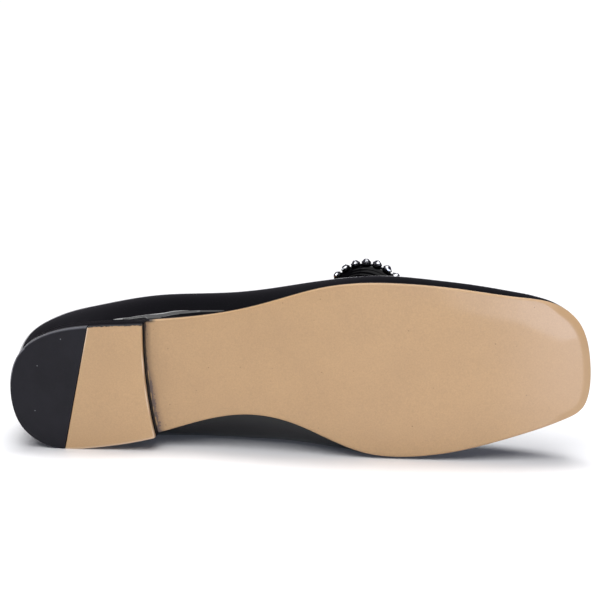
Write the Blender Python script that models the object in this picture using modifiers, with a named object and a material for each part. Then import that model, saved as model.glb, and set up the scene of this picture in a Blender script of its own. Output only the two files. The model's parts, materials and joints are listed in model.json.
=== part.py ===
"""Patent ballet flat for the right foot, lying on its inner side.

The shoe is drawn in its own frame, in metres: X runs from heel to toe, Y to the inner side of the foot, and Z up from
the plane that heel and forefoot stand on. An empty then lays the whole shoe on its side, on the plane Z = 0.
"""

import math
from collections import namedtuple

import bmesh
import bpy
import numpy as np
from mathutils import Matrix, Vector

MM = 0.001

# Driving dimensions of the sole and heel
SOLE_LENGTH = 246 * MM
SOLE_THICKNESS = 3.0 * MM
HEEL_HEIGHT = 7.5 * MM
LIFT_THICKNESS = 3.0 * MM
TOE_SPRING = 7.0 * MM
EDGE_ROLL = 1.0 * MM
EDGE_ROLL_POWER = 8
SEAT_END = 64 * MM
TREAD_START = 150 * MM
TREAD_END = 184 * MM
BREAST_LATERAL = 59.4 * MM
BREAST_MEDIAL = 61.5 * MM
BREAST_HOLLOW = 1.6 * MM
BREAST_STEP = 0.8 * MM
SPLIT_LATERAL = 35.2 * MM
SPLIT_MEDIAL = 21.7 * MM

# Driving dimensions of the upper and insole
WALL = 1.5 * MM
GAP = 0.3 * MM
FEATHER_INSET = 0.7 * MM
INSOLE_INSET = 3.0 * MM
INSOLE_THICKNESS = 2.4 * MM

# Driving dimensions of the bow and its stones
BOW_ALONG = 147.5 * MM
RIBBON = 1.2 * MM
LOOP_ROOT = 5.4 * MM
LOOP_OPENING = 7.5 * MM
LOOP_ROOT_HALF = 6.0 * MM
LOOP_END_HALF = 15.5 * MM
LOOP_ROUNDING = 0.97
LOOP_FLARE = 0.7
LAYER_SPACE = 1.1 * MM
KNOT_SIZE = (11.0 * MM, 9.6 * MM, 8.4 * MM)
KNOT_ROUND = 2.6 * MM
KNOT_CLEARANCE = 0.5 * MM
STONE_RADIUS = 2.0 * MM
STONE_TABLE = 1.2 * MM
STONE_HEIGHT = 2.4 * MM
STONE_PITCH = 4.6 * MM
CHAIN_RADIUS = 0.6 * MM
CHAIN_LIFT = 0.8 * MM
CHAIN_START = 0.2

# Counts of segments and samples
OUTLINE_STEPS = 52
OUTLINE_SAMPLES = 2400
SOLE_COLUMNS = 8
WALL_STEPS = 12
LOOP_STEPS = 20
LOOP_COLUMNS = 8
RIM_STEPS = 40
HEEL_STEPS = 22
BREAST_STEPS = 8
KNOT_STEPS = 3
STONE_SIDES = 6

# How far a face may turn from the inner side and still be one that the shoe lies on, as a cosine
SIDE_LIMIT = 0.85

# Half-widths of the sole, in millimetres from the line through heel and toe, by the share of its length
SoleRow = namedtuple("SoleRow", "station lateral medial")
SOLE_BACK = 3.1
SOLE_TOE = -1.2
SOLE_ROWS = (
    SoleRow(0.0200, 13.8, 20.0),
    SoleRow(0.0650, 21.6, 27.4),
    SoleRow(0.1400, 25.0, 28.4),
    SoleRow(0.2500, 25.6, 24.3),
    SoleRow(0.3300, 27.0, 18.9),
    SoleRow(0.4100, 30.2, 16.0),
    SoleRow(0.4800, 34.8, 18.6),
    SoleRow(0.5500, 39.4, 26.0),
    SoleRow(0.6200, 41.2, 32.7),
    SoleRow(0.6800, 40.7, 34.2),
    SoleRow(0.7800, 37.8, 31.7),
    SoleRow(0.8800, 33.2, 25.8),
    SoleRow(0.9500, 28.4, 20.7),
    SoleRow(0.9850, 19.8, 15.9),
    SoleRow(0.9955, 12.6, 10.2),
)

# The upper, in millimetres, by the share of the way round from heel to toe on each side: where its top edge runs, how
# far the wall first swells outwards and rises from the sole, and how it comes into the top edge
UpperRow = namedtuple(
    "UpperRow", "share top_along top_lateral top_medial top_height out_lateral out_medial rise reach drop"
)
UPPER_ROWS = (
    UpperRow(0.00, 6.5, -3.0, 3.0, 66.0, 6.0, 6.0, 22, 4, 17),
    UpperRow(0.08, 13.0, 11.8, 17.0, 65.0, 4.0, 4.0, 22, 4, 17),
    UpperRow(0.17, 34.0, 19.0, 23.0, 60.0, 3.4, 4.0, 22, 4, 16),
    UpperRow(0.28, 58.0, 23.0, 25.0, 52.5, 10.5, 14.0, 17, 5, 15),
    UpperRow(0.41, 89.0, 25.4, 25.8, 44.0, 8.5, 26.0, 15, 5, 12),
    UpperRow(0.54, 115.0, 24.0, 22.8, 40.0, 4.0, 17.0, 14, 8, 8),
    UpperRow(0.65, 130.0, 18.0, 15.6, 41.2, 4.0, 5.5, 16, 13, 6),
    UpperRow(0.75, 137.0, 12.2, 9.6, 44.0, 4.8, 5.5, 16, 20, 5),
    UpperRow(0.84, 140.4, 8.0, 5.4, 46.0, 3.8, 4.4, 16, 27, 6),
    UpperRow(0.93, 141.8, 4.2, 1.6, 47.0, 3.2, 3.6, 16, 34, 7),
    UpperRow(1.00, 142.0, 1.3, -1.3, 47.2, 3.6, 3.6, 16, 37, 7),
)

# The bow's two loops, in millimetres: which way each one points, how far its end lies from the knot and above the vamp
LoopRow = namedtuple("LoopRow", "name side reach root_height end_height")
LOOP_ROWS = (
    LoopRow("lateral", -1, 35.0, 5.2, 9.0),
    LoopRow("medial", 1, 28.0, 5.2, 13.0),
)


def smooth_step(value):
    """Rises from 0 to 1 with level ends."""
    t = np.clip(value, 0.0, 1.0)
    return t * t * (3 - 2 * t)


def unit(rows):
    """Each row at length one."""
    return rows / np.linalg.norm(rows, axis=1)[:, None]


def run_along(path):
    """The distance travelled at each point of a path."""
    return np.concatenate([[0.0], np.cumsum(np.linalg.norm(np.diff(path, axis=0), axis=1))])


def closed_spline(knots, values, period):
    """A smooth closed curve through the values at the knots, as a function of the parameter."""
    knots = np.asarray(knots, float)
    values = np.asarray(values, float)
    count = len(knots)
    gaps = np.diff(np.append(knots, knots[0] + period))
    slopes = (np.roll(values, -1, axis=0) - values) / gaps[:, None]
    system = np.zeros((count, count))
    right = np.zeros_like(values)
    for i in range(count):
        before, after = gaps[i - 1], gaps[i]
        system[i, i - 1] += after
        system[i, i] += 2 * (before + after)
        system[i, (i + 1) % count] += before
        right[i] = 3 * (after * slopes[i - 1] + before * slopes[i])
    tangents = np.linalg.solve(system, right)

    def at(parameter):
        p = np.mod(np.asarray(parameter, float) - knots[0], period) + knots[0]
        i = np.clip(np.searchsorted(knots, p, side="right") - 1, 0, count - 1)
        j = (i + 1) % count
        width = gaps[i][:, None]
        t = (p - knots[i])[:, None] / width
        start = (1 + 2 * t) * (1 - t) ** 2 * values[i] + t * (1 - t) ** 2 * width * tangents[i]
        end = t * t * (3 - 2 * t) * values[j] + t * t * (t - 1) * width * tangents[j]
        return start + end

    return at


def sole_curve():
    """The sole's outline as a function of u: 0 at the heel, 1 at the toe by the lateral side, 2 at the heel again."""
    lateral = [(row.station * SOLE_LENGTH, -row.lateral * MM) for row in SOLE_ROWS]
    medial = [(row.station * SOLE_LENGTH, row.medial * MM) for row in reversed(SOLE_ROWS)]
    points = [(0.0, SOLE_BACK * MM), *lateral, (SOLE_LENGTH, SOLE_TOE * MM), *medial]
    knots = run_along(np.array(points + points[:1]))
    curve = closed_spline(knots[:-1], points, knots[-1])
    fine = np.linspace(0.0, knots[-1], OUTLINE_SAMPLES + 1)
    run = run_along(curve(fine))
    toe_run = np.interp(knots[len(lateral) + 1], fine, run)

    def at(u):
        u = np.mod(np.asarray(u, float), 2.0)
        along = np.where(u <= 1, u * toe_run, toe_run + (u - 1) * (run[-1] - toe_run))
        return curve(np.interp(along, run, fine))

    return at


def topline_curve():
    """The upper's rows as one closed function of u: the top edge's x, y and z, then out, rise, reach and drop."""
    lateral = [
        (r.share, (r.top_along, -r.top_lateral, r.top_height, r.out_lateral, r.rise, r.reach, r.drop))
        for r in UPPER_ROWS
    ]
    medial = [
        (2 - r.share, (r.top_along, r.top_medial, r.top_height, r.out_medial, r.rise, r.reach, r.drop))
        for r in reversed(UPPER_ROWS[1:-1])
    ]
    knots, values = zip(*(lateral + medial))
    return closed_spline(knots, np.array(values) * MM, 2.0)


OUTLINE = sole_curve()
TOPLINE = topline_curve()


def outward(curve, u):
    """Level directions that point away from the inside of a closed curve."""
    step = 1e-4
    along = unit(curve(u + step)[:, :2] - curve(u - step)[:, :2])
    return np.stack([along[:, 1], -along[:, 0]], axis=1)


def inset_outline(u, inset):
    """The sole's outline moved inwards."""
    return OUTLINE(u) - inset * outward(OUTLINE, u)


def tread_height(x):
    """Underside of the sole along its length: level under the heel seat, down to the tread, up to the toe."""
    arch = HEEL_HEIGHT * (1 - smooth_step((x - SEAT_END) / (TREAD_START - SEAT_END)))
    toe = TOE_SPRING * np.clip((x - TREAD_END) / (SOLE_LENGTH - TREAD_END), 0.0, None) ** 2
    return arch + toe


def upper_points(u, v):
    """Points of the upper's outer face: u goes round the foot, v from the sole to the top edge."""
    foot = inset_outline(u, FEATHER_INSET)
    edge = TOPLINE(u)
    out, rise, reach, drop = edge[:, 3:4], edge[:, 4:5], edge[:, 5:6], edge[:, 6:7]
    level = np.zeros((len(u), 1))
    up = np.array([0.0, 0.0, 1.0])
    start = np.column_stack([foot, tread_height(foot[:, 0]) + SOLE_THICKNESS + GAP])
    end = edge[:, :3]
    swell = start + out * np.hstack([outward(OUTLINE, u), level]) + rise * up
    lean = end + reach * np.hstack([outward(TOPLINE, u), level]) - drop * up
    t = v[:, None]
    return (1 - t) ** 3 * start + 3 * (1 - t) ** 2 * t * swell + 3 * (1 - t) * t * t * lean + t**3 * end


def bow_frame():
    """Where the bow sits on the vamp: a point on its ridge, the way to the toe and the way out of the surface."""
    shares = np.linspace(1.0, 0.5, OUTLINE_SAMPLES)
    ridge = upper_points(np.ones(OUTLINE_SAMPLES), shares)
    seat, ahead = (
        np.array([np.interp(along, ridge[:, 0], ridge[:, axis]) for axis in range(3)])
        for along in (BOW_ALONG, BOW_ALONG + MM)
    )
    to_toe = (ahead - seat) / np.linalg.norm(ahead - seat)
    up = np.cross(to_toe, [0.0, 1.0, 0.0])
    return seat, to_toe, up / np.linalg.norm(up)


BOW_SEAT, BOW_TO_TOE, BOW_UP = bow_frame()


def material(name, colour, roughness, metallic=0.0):
    """A plain finish with its colour, roughness and metallic value."""
    made = bpy.data.materials.new(name)
    made.use_nodes = True
    shader = made.node_tree.nodes["Principled BSDF"]
    shader.inputs["Base Color"].default_value = (*colour, 1.0)
    shader.inputs["Roughness"].default_value = roughness
    shader.inputs["Metallic"].default_value = metallic
    return made


def add_part(name, data, finish):
    """One named sub-part, in the shoe's collection and under its empty."""
    part = bpy.data.objects.new(name, data)
    part.data.materials.append(finish)
    SHOE.objects.link(part)
    part.parent = LAID
    return part


def mapped_grid(name, columns, rows, place):
    """A grid primitive whose points go to place(u, v), with u and v from 0 to 1; points that meet are welded."""
    mesh = bpy.data.meshes.new(name)
    work = bmesh.new()
    bmesh.ops.create_grid(work, x_segments=columns, y_segments=rows, size=0.5)
    flat = np.array([vert.co[:2] for vert in work.verts])
    flat = (flat - flat.min(axis=0)) / np.ptp(flat, axis=0)
    for vert, point in zip(work.verts, place(flat[:, 0], flat[:, 1])):
        vert.co = point
    bmesh.ops.remove_doubles(work, verts=work.verts, dist=1e-6)
    bmesh.ops.dissolve_degenerate(work, edges=work.edges, dist=1e-6)
    work.to_mesh(mesh)
    work.free()
    mesh.shade_smooth()
    return mesh


def thicken(part, thickness, offset):
    """Gives an open surface its wall."""
    wall = part.modifiers.new("Wall", "SOLIDIFY")
    wall.thickness = thickness
    wall.offset = offset
    wall.use_even_offset = True


def plate(name, inset, bottom, thickness, finish):
    """A sheet with the sole's outline: its lower face at bottom(x, across), its upper face the thickness above."""

    def place(u, v):
        share = 0.5 * (1 - np.cos(np.pi * v))
        lateral = inset_outline(u, inset)
        medial = inset_outline(2 - u, inset)
        flat = lateral + (medial - lateral) * share[:, None]
        return np.column_stack([flat, bottom(flat[:, 0], 2 * share - 1)])

    mesh = mapped_grid(name, OUTLINE_STEPS, SOLE_COLUMNS, place)
    work = bmesh.new()
    work.from_mesh(mesh)
    top = bmesh.ops.extrude_face_region(work, geom=work.faces[:], use_keep_orig=True)
    for item in top["geom"]:
        if isinstance(item, bmesh.types.BMVert):
            item.co.z = bottom(np.array([item.co.x]), np.zeros(1))[0] + thickness
    bmesh.ops.recalc_face_normals(work, faces=work.faces)
    work.to_mesh(mesh)
    work.free()
    return add_part(name, mesh, finish)


def build_sole(leather, lining):
    """The outsole from toe to heel seat, and the insole on it."""

    def sole_underside(x, across):
        return tread_height(x) + EDGE_ROLL * np.abs(across) ** EDGE_ROLL_POWER

    def insole_underside(x, across):
        return tread_height(x) + SOLE_THICKNESS + GAP

    plate("outsole", 0.0, sole_underside, SOLE_THICKNESS, leather)
    plate("insole", INSOLE_INSET, insole_underside, INSOLE_THICKNESS, lining)


def side_share(side, along):
    """The outline's parameter where it reaches a distance from the heel, on the heel's part of one side."""
    shares = np.linspace(0.0, 0.4, OUTLINE_SAMPLES)
    reached = OUTLINE(shares if side < 0 else 2 - shares)[:, 0]
    share = np.interp(along, reached, shares)
    return share if side < 0 else 2 - share


def outline_run(first, last, steps):
    """Points of the outline from one parameter to another."""
    return [tuple(point) for point in OUTLINE(np.linspace(first, last, steps + 1))]


def breast_run(lateral, medial):
    """The heel's front face, seen from below: a shallow curve that is hollow towards the toe."""
    shares = np.linspace(0.0, 1.0, BREAST_STEPS + 1)[1:-1]
    start, end = np.array(lateral), np.array(medial)
    points = start + (end - start) * shares[:, None]
    points[:, 0] -= BREAST_HOLLOW * 4 * shares * (1 - shares)
    return [tuple(point) for point in points]


def flat_piece(name, outline, low, high, finish):
    """A level piece cut to an outline, as a filled curve with its thickness."""
    curve = bpy.data.curves.new(name, "CURVE")
    curve.dimensions = "2D"
    curve.fill_mode = "BOTH"
    curve.extrude = (high - low) / 2
    line = curve.splines.new("POLY")
    line.points.add(len(outline) - 1)
    for point, (x, y) in zip(line.points, outline):
        point.co = (x, y, 0.0, 1.0)
    line.use_cyclic_u = True
    piece = add_part(name, curve, finish)
    piece.location.z = (low + high) / 2
    return piece


def build_heel(leather, rubber, edge_paint):
    """The heel block, and under it a leather lift with a rubber tip across its back."""
    block_lateral = side_share(-1, BREAST_LATERAL + BREAST_STEP)
    block_medial = side_share(1, BREAST_MEDIAL + BREAST_STEP)
    block = outline_run(block_medial - 2, block_lateral, 2 * HEEL_STEPS)
    block += breast_run(block[-1], block[0])
    flat_piece("heel_block", block, LIFT_THICKNESS + GAP, HEEL_HEIGHT - GAP, edge_paint)

    tip = outline_run(side_share(1, SPLIT_MEDIAL) - 2, side_share(-1, SPLIT_LATERAL), HEEL_STEPS)
    flat_piece("lift_rubber_tip", tip, 0.0, LIFT_THICKNESS, rubber)

    lateral = outline_run(side_share(-1, SPLIT_LATERAL + GAP), side_share(-1, BREAST_LATERAL), BREAST_STEPS)
    medial = outline_run(side_share(1, BREAST_MEDIAL), side_share(1, SPLIT_MEDIAL + GAP), BREAST_STEPS)
    front = lateral + breast_run(lateral[-1], medial[0]) + medial
    flat_piece("lift_leather", front, 0.0, LIFT_THICKNESS, leather)


def build_upper(patent):
    """One wall round the foot, open at the top edge and underneath."""

    def place(u, v):
        return upper_points(2 * u, v)

    upper = add_part("upper", mapped_grid("upper", 2 * OUTLINE_STEPS, WALL_STEPS, place), patent)
    thicken(upper, WALL, -1.0)


def loop_points(row, turn, across):
    """A folded ribbon: turn goes out along its lower layer and back along the upper one, across spans its width."""
    longest = row.reach * MM
    round_end = 1 - np.sqrt(1 - (LOOP_ROUNDING * across) ** 2)
    reach = longest - LOOP_END_HALF * round_end
    out = LOOP_ROOT + (reach - LOOP_ROOT) * 0.5 * (1 - np.cos(2 * np.pi * turn))
    spread = smooth_step((out - LOOP_ROOT) / (LOOP_FLARE * (longest - LOOP_ROOT)))
    half = LOOP_ROOT_HALF + (LOOP_END_HALF - LOOP_ROOT_HALF) * spread
    middle = MM * (row.root_height + (row.end_height - row.root_height) * out / longest)
    opening = LOOP_OPENING * 0.5 * np.sin(2 * np.pi * turn) * np.sqrt(np.sin(np.pi * turn))
    height = middle - opening + LAYER_SPACE * (2 * turn - 1)
    sideways = np.array([0.0, row.side, 0.0])
    flat = out[:, None] * sideways + (across * half)[:, None] * BOW_TO_TOE
    return BOW_SEAT + flat + height[:, None] * BOW_UP


def build_loop(row, patent):
    """One loop of the bow, a ribbon that folds over at its round end."""

    def place(u, v):
        return loop_points(row, u, 2 * v - 1)

    name = f"bow_loop_{row.name}"
    loop = add_part(name, mapped_grid(name, LOOP_STEPS, LOOP_COLUMNS, place), patent)
    thicken(loop, RIBBON, 0.0)


def build_knot(patent):
    """The band that gathers the bow: a block with large rounds, seated on the vamp."""
    mesh = bpy.data.meshes.new("bow_knot")
    work = bmesh.new()
    bmesh.ops.create_cube(work, size=1.0)
    bmesh.ops.scale(work, vec=KNOT_SIZE, verts=work.verts)
    bmesh.ops.bevel(
        work, geom=work.edges[:], offset=KNOT_ROUND, segments=KNOT_STEPS, profile=0.5, affect="EDGES"
    )
    work.to_mesh(mesh)
    work.free()
    mesh.shade_smooth()
    knot = add_part("bow_knot", mesh, patent)
    axes = (Vector(BOW_TO_TOE), Vector(np.cross(BOW_UP, BOW_TO_TOE)), Vector(BOW_UP))
    middle = Vector(BOW_SEAT + BOW_UP * (KNOT_CLEARANCE + KNOT_SIZE[2] / 2))
    knot.matrix_basis = Matrix.Translation(middle) @ Matrix(axes).transposed().to_4x4()


def rim_path(row):
    """Where a loop's stones run, beside its upper layer's edges and round its fold, and which way is out there."""
    share = np.linspace(CHAIN_START, 1.0, RIM_STEPS)
    fold = np.linspace(1.0, -1.0, 2 * RIM_STEPS)[1:-1]
    shares = np.concatenate([share, np.ones(len(fold)), share[::-1]])
    across = np.concatenate([np.ones(RIM_STEPS), fold, -np.ones(RIM_STEPS)])
    rim = loop_points(row, 1 - np.arccos(1 - 2 * shares) / (2 * np.pi), across)
    return rim, unit(row.side * np.cross(np.gradient(rim, axis=0), BOW_UP))


def even_places(path, ways, pitch):
    """Points along a path at an even pitch, centred on it, and the ways out there."""
    run = run_along(path)
    count = int(run[-1] // pitch)
    places = (run[-1] - count * pitch) / 2 + pitch * np.arange(count + 1)
    return [np.column_stack([np.interp(places, run, column) for column in rows.T]) for rows in (path, ways)]


def wire_mesh(name, points):
    """A thin wire through the points, as a closed mesh."""
    curve = bpy.data.curves.new(name, "CURVE")
    curve.dimensions = "3D"
    curve.bevel_depth = CHAIN_RADIUS
    curve.bevel_resolution = 0
    curve.use_fill_caps = True
    line = curve.splines.new("POLY")
    line.points.add(len(points) - 1)
    for point, place in zip(line.points, points):
        point.co = (*place, 1.0)
    wire = bpy.data.objects.new(name, curve)
    CUTTERS.objects.link(wire)
    graph = bpy.context.evaluated_depsgraph_get()
    mesh = bpy.data.meshes.new_from_object(wire.evaluated_get(graph))
    bpy.data.objects.remove(wire)
    work = bmesh.new()
    work.from_mesh(mesh)
    bmesh.ops.remove_doubles(work, verts=work.verts, dist=1e-6)
    bmesh.ops.recalc_face_normals(work, faces=work.faces)
    work.to_mesh(mesh)
    work.free()
    mesh.materials.clear()
    return mesh


def cup_mesh(name, places, ways):
    """A stone in its cup at each place, as a cut cone that narrows outwards."""
    work = bmesh.new()
    for place, way in zip(places, ways):
        turn = Vector(way).to_track_quat("Z", "Y").to_matrix().to_4x4()
        bmesh.ops.create_cone(
            work,
            cap_ends=True,
            segments=STONE_SIDES,
            radius1=STONE_RADIUS,
            radius2=STONE_TABLE,
            depth=STONE_HEIGHT,
            matrix=Matrix.Translation(place + STONE_HEIGHT / 2 * way) @ turn,
        )
    mesh = bpy.data.meshes.new(name)
    work.to_mesh(mesh)
    work.free()
    return mesh


def build_stones(row, stone):
    """A chain of round stones in cups along a loop's rim, joined by the wire that they are soldered to."""
    name = f"stone_chain_{row.name}"
    rim, ways = rim_path(row)
    seats, ways = even_places(rim, ways, STONE_PITCH)
    seats += (RIBBON / 2 + GAP) * ways

    cups = bpy.data.objects.new(name + "_cups", cup_mesh(name + "_cups", seats, ways))
    cups.hide_render = True
    cups.display_type = "WIRE"
    cups.parent = LAID
    CUTTERS.objects.link(cups)

    chain = add_part(name, wire_mesh(name, seats + CHAIN_LIFT * ways), stone)
    union = chain.modifiers.new("Cups", "BOOLEAN")
    union.operation = "UNION"
    union.object = cups


def evaluated_points(parts):
    """Every point of the parts as they stand, and the centre of their volume."""
    bpy.context.view_layer.update()
    graph = bpy.context.evaluated_depsgraph_get()
    points, weights, centres = [], [], []
    for part in parts:
        shown = part.evaluated_get(graph)
        work = bmesh.new()
        work.from_mesh(shown.to_mesh())
        shown.to_mesh_clear()
        work.transform(part.matrix_world)
        points.extend(vert.co.copy() for vert in work.verts)
        bmesh.ops.triangulate(work, faces=work.faces)
        for face in work.faces:
            a, b, c = (vert.co for vert in face.verts)
            weights.append(a.dot(b.cross(c)) / 6)
            centres.append((a + b + c) / 4)
        work.free()
    weights = np.array(weights)
    centre = (np.array(centres) * weights[:, None]).sum(axis=0) / weights.sum()
    return points, Vector(centre)


def triangle_holds(corners, point, normal):
    """Whether a point in a triangle's plane lies inside it."""
    turns = [(b - a).cross(point - a).dot(normal) for a, b in zip(corners, corners[1:] + corners[:1])]
    return min(turns) >= 0 or max(turns) <= 0


def resting_normal(points, centre):
    """The way out of that face of the shoe's hull, on the inner side, which lies right under the shoe's centre."""
    work = bmesh.new()
    for point in points:
        work.verts.new(point)
    bmesh.ops.remove_doubles(work, verts=work.verts, dist=1e-7)
    bmesh.ops.convex_hull(work, input=work.verts)
    bmesh.ops.triangulate(work, faces=work.faces)
    best, least = None, math.inf
    for face in work.faces:
        corners = [vert.co for vert in face.verts]
        normal = face.normal.copy()
        if normal.dot(corners[0] - centre) < 0:
            normal.negate()
        height = normal.dot(corners[0] - centre)
        below = centre + normal * height
        if normal.y > SIDE_LIMIT and height < least and triangle_holds(corners, below, normal):
            best, least = normal, height
    work.free()
    return best


def lay_on_side(parts):
    """Turns the shoe onto its inner side, with the toe along +X, and centres it over the origin."""
    points, centre = evaluated_points(parts)
    up = -resting_normal(points, centre)
    forward = Vector((1.0, 0.0, 0.0))
    forward = (forward - up * forward.dot(up)).normalized()
    turn = Matrix((forward, up.cross(forward), up))
    laid = np.array([turn @ point for point in points])
    low, high = laid.min(axis=0), laid.max(axis=0)
    middle = Vector(((low[0] + high[0]) / 2, (low[1] + high[1]) / 2, low[2]))
    LAID.matrix_world = Matrix.Translation(-middle) @ turn.to_4x4()


for old in list(bpy.data.objects):
    bpy.data.objects.remove(old)
SHOE = bpy.data.collections.new("Ballet_flat")
CUTTERS = bpy.data.collections.new("Cutters")
bpy.context.scene.collection.children.link(SHOE)
bpy.context.scene.collection.children.link(CUTTERS)
LAID = bpy.data.objects.new("Laid_on_side", None)
SHOE.objects.link(LAID)

SOLE_LEATHER = material("Sole_leather", (0.55, 0.37, 0.21), 0.5)
LINING_LEATHER = material("Lining_leather", (0.50, 0.34, 0.20), 0.6)
HEEL_PAINT = material("Heel_edge_paint", (0.02, 0.02, 0.022), 0.35)
TIP_RUBBER = material("Tip_rubber", (0.025, 0.024, 0.028), 0.6)
PATENT = material("Black_patent", (0.006, 0.006, 0.007), 0.06)
STONE = material("Clear_stone", (0.75, 0.76, 0.78), 0.08)

build_sole(SOLE_LEATHER, LINING_LEATHER)
build_heel(SOLE_LEATHER, TIP_RUBBER, HEEL_PAINT)
build_upper(PATENT)
build_knot(PATENT)
for loop_row in LOOP_ROWS:
    build_loop(loop_row, PATENT)
    build_stones(loop_row, STONE)
lay_on_side([part for part in SHOE.objects if part.type != "EMPTY"])
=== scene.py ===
"""Dresses a patent ballet flat for the right foot, lying on its inner side with its sole to the viewer.

Each piece is drawn in the shoe's own frame: X runs from heel to toe, Y to the inner side of the foot, and
Z up from the plane that heel and forefoot stand on. It is then carried into the frame of the solids, in
which the shoe lies.
"""

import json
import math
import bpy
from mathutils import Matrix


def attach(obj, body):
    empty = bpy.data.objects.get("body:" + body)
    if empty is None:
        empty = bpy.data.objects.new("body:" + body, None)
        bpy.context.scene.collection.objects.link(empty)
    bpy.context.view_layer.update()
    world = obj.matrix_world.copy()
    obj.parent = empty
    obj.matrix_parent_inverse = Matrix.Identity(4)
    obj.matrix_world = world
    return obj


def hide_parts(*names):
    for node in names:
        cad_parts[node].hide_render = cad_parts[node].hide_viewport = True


bl_info = {
    "name": "Patent Ballet Flat",
    "version": (1, 0, 0),
    "blender": (4, 5, 0),
    "location": "View3D > Sidebar > Ballet Flat",
    "description": "Sole, heel, upper, bow and stones of a patent ballet flat",
    "category": "Object",
}

from collections import namedtuple

import bmesh
import bpy
import numpy as np
from bpy.props import FloatProperty, FloatVectorProperty, PointerProperty
from mathutils import Matrix, Vector
from mathutils.kdtree import KDTree

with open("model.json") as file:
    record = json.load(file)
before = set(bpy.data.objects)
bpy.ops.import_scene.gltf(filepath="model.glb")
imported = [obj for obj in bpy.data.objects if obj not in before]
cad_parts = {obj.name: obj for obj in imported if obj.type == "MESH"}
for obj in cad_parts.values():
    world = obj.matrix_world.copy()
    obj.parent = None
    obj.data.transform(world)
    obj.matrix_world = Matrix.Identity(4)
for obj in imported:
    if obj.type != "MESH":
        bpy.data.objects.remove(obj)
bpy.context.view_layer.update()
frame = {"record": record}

MM = 0.001
BODY = "root"

# How far from the heel's end the record's heel tread lies
HEEL_TREAD_ALONG = 47 * MM

# Half-widths of the sole, in millimetres from the line through heel and toe, by the share of its length
SoleRow = namedtuple("SoleRow", "station lateral medial")
SOLE_BACK = 3.1
SOLE_TOE = -1.2
SOLE_ROWS = (
    SoleRow(0.0200, 13.8, 20.0),
    SoleRow(0.0650, 21.6, 27.4),
    SoleRow(0.1400, 25.0, 28.4),
    SoleRow(0.2500, 25.6, 24.3),
    SoleRow(0.3300, 27.0, 18.9),
    SoleRow(0.4100, 30.2, 16.0),
    SoleRow(0.4800, 34.8, 18.6),
    SoleRow(0.5500, 39.4, 26.0),
    SoleRow(0.6200, 41.2, 32.7),
    SoleRow(0.6800, 40.7, 34.2),
    SoleRow(0.7800, 37.8, 31.7),
    SoleRow(0.8800, 33.2, 25.8),
    SoleRow(0.9500, 28.4, 20.7),
    SoleRow(0.9850, 19.8, 15.9),
    SoleRow(0.9955, 12.6, 10.2),
)

# The upper, in millimetres, by the share of the way round from heel to toe on each side: where its top
# edge runs, how far the wall first swells outwards and rises from the sole, and how it comes into the
# top edge
UpperRow = namedtuple(
    "UpperRow", "share top_along top_lateral top_medial top_height out_lateral out_medial rise reach drop"
)
UPPER_ROWS = (
    UpperRow(0.00, 6.5, -3.0, 3.0, 66.0, 6.0, 6.0, 22, 4, 17),
    UpperRow(0.08, 13.0, 11.8, 17.0, 65.0, 4.0, 4.0, 22, 4, 17),
    UpperRow(0.17, 34.0, 19.0, 23.0, 60.0, 3.4, 4.0, 22, 4, 16),
    UpperRow(0.28, 58.0, 23.0, 25.0, 52.5, 10.5, 14.0, 17, 5, 15),
    UpperRow(0.41, 89.0, 25.4, 25.8, 44.0, 8.5, 26.0, 15, 5, 12),
    UpperRow(0.54, 115.0, 24.0, 22.8, 40.0, 4.0, 17.0, 14, 8, 8),
    UpperRow(0.65, 130.0, 18.0, 15.6, 41.2, 4.0, 5.5, 16, 13, 6),
    UpperRow(0.75, 137.0, 12.2, 9.6, 44.0, 4.8, 5.5, 16, 20, 5),
    UpperRow(0.84, 140.4, 8.0, 5.4, 46.0, 3.8, 4.4, 16, 27, 6),
    UpperRow(0.93, 141.8, 4.2, 1.6, 47.0, 3.2, 3.6, 16, 34, 7),
    UpperRow(1.00, 142.0, 1.3, -1.3, 47.2, 3.6, 3.6, 16, 37, 7),
)

# The fold of slack patent along the sole, by the distance from the heel on the outer side: how high the
# wall runs in under it, how wide the flat facet above is, both in millimetres, and how deep it tucks in
# as a share of the lip's tuck. The facet comes down to the sole at the heel's front, and thins out along
# the waist.
LipRow = namedtuple("LipRow", "along height width tuck")
LIP_ROWS = (
    LipRow(0.0, 0.6, 0.8, 0.0),
    LipRow(30.0, 0.6, 0.8, 0.0),
    LipRow(42.0, 0.3, 0.9, 0.11),
    LipRow(51.0, 1.0, 0.7, 0.28),
    LipRow(55.0, 1.7, 0.65, 0.25),
    LipRow(58.4, 2.1, 0.7, 0.28),
    LipRow(59.3, 1.2, 1.65, 0.78),
    LipRow(60.1, 0.1, 2.75, 1.22),
    LipRow(61.5, 0.4, 2.4, 1.05),
    LipRow(63.0, 1.2, 1.5, 0.67),
    LipRow(66.0, 1.8, 1.05, 0.47),
    LipRow(70.0, 2.5, 1.05, 0.47),
    LipRow(73.0, 2.6, 1.0, 0.44),
    LipRow(76.5, 2.5, 1.0, 0.36),
    LipRow(82.3, 2.2, 0.95, 0.22),
    LipRow(87.6, 1.4, 0.95, 0.18),
    LipRow(91.2, 0.9, 0.85, 0.17),
    LipRow(93.5, 0.7, 0.7, 0.1),
    LipRow(97.0, 0.6, 0.8, 0.0),
    LipRow(246.0, 0.6, 0.8, 0.0),
)

# Where the outer wall is fuller than its smooth shape, in millimetres: the middle of each swelling along
# the shoe and up the wall, how far it stands out, and how far it spreads both ways
FullRow = namedtuple("FullRow", "along climb amount spread_along spread_climb")
FULL_ROWS = (
    FullRow(7.0, 8.0, 1.3, 12.0, 9.0),
    FullRow(38.0, 20.0, 1.4, 34.0, 14.0),
    FullRow(165.0, 8.0, 1.0, 20.0, 7.0),
    FullRow(208.0, 8.0, 0.9, 20.0, 7.0),
)

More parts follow.
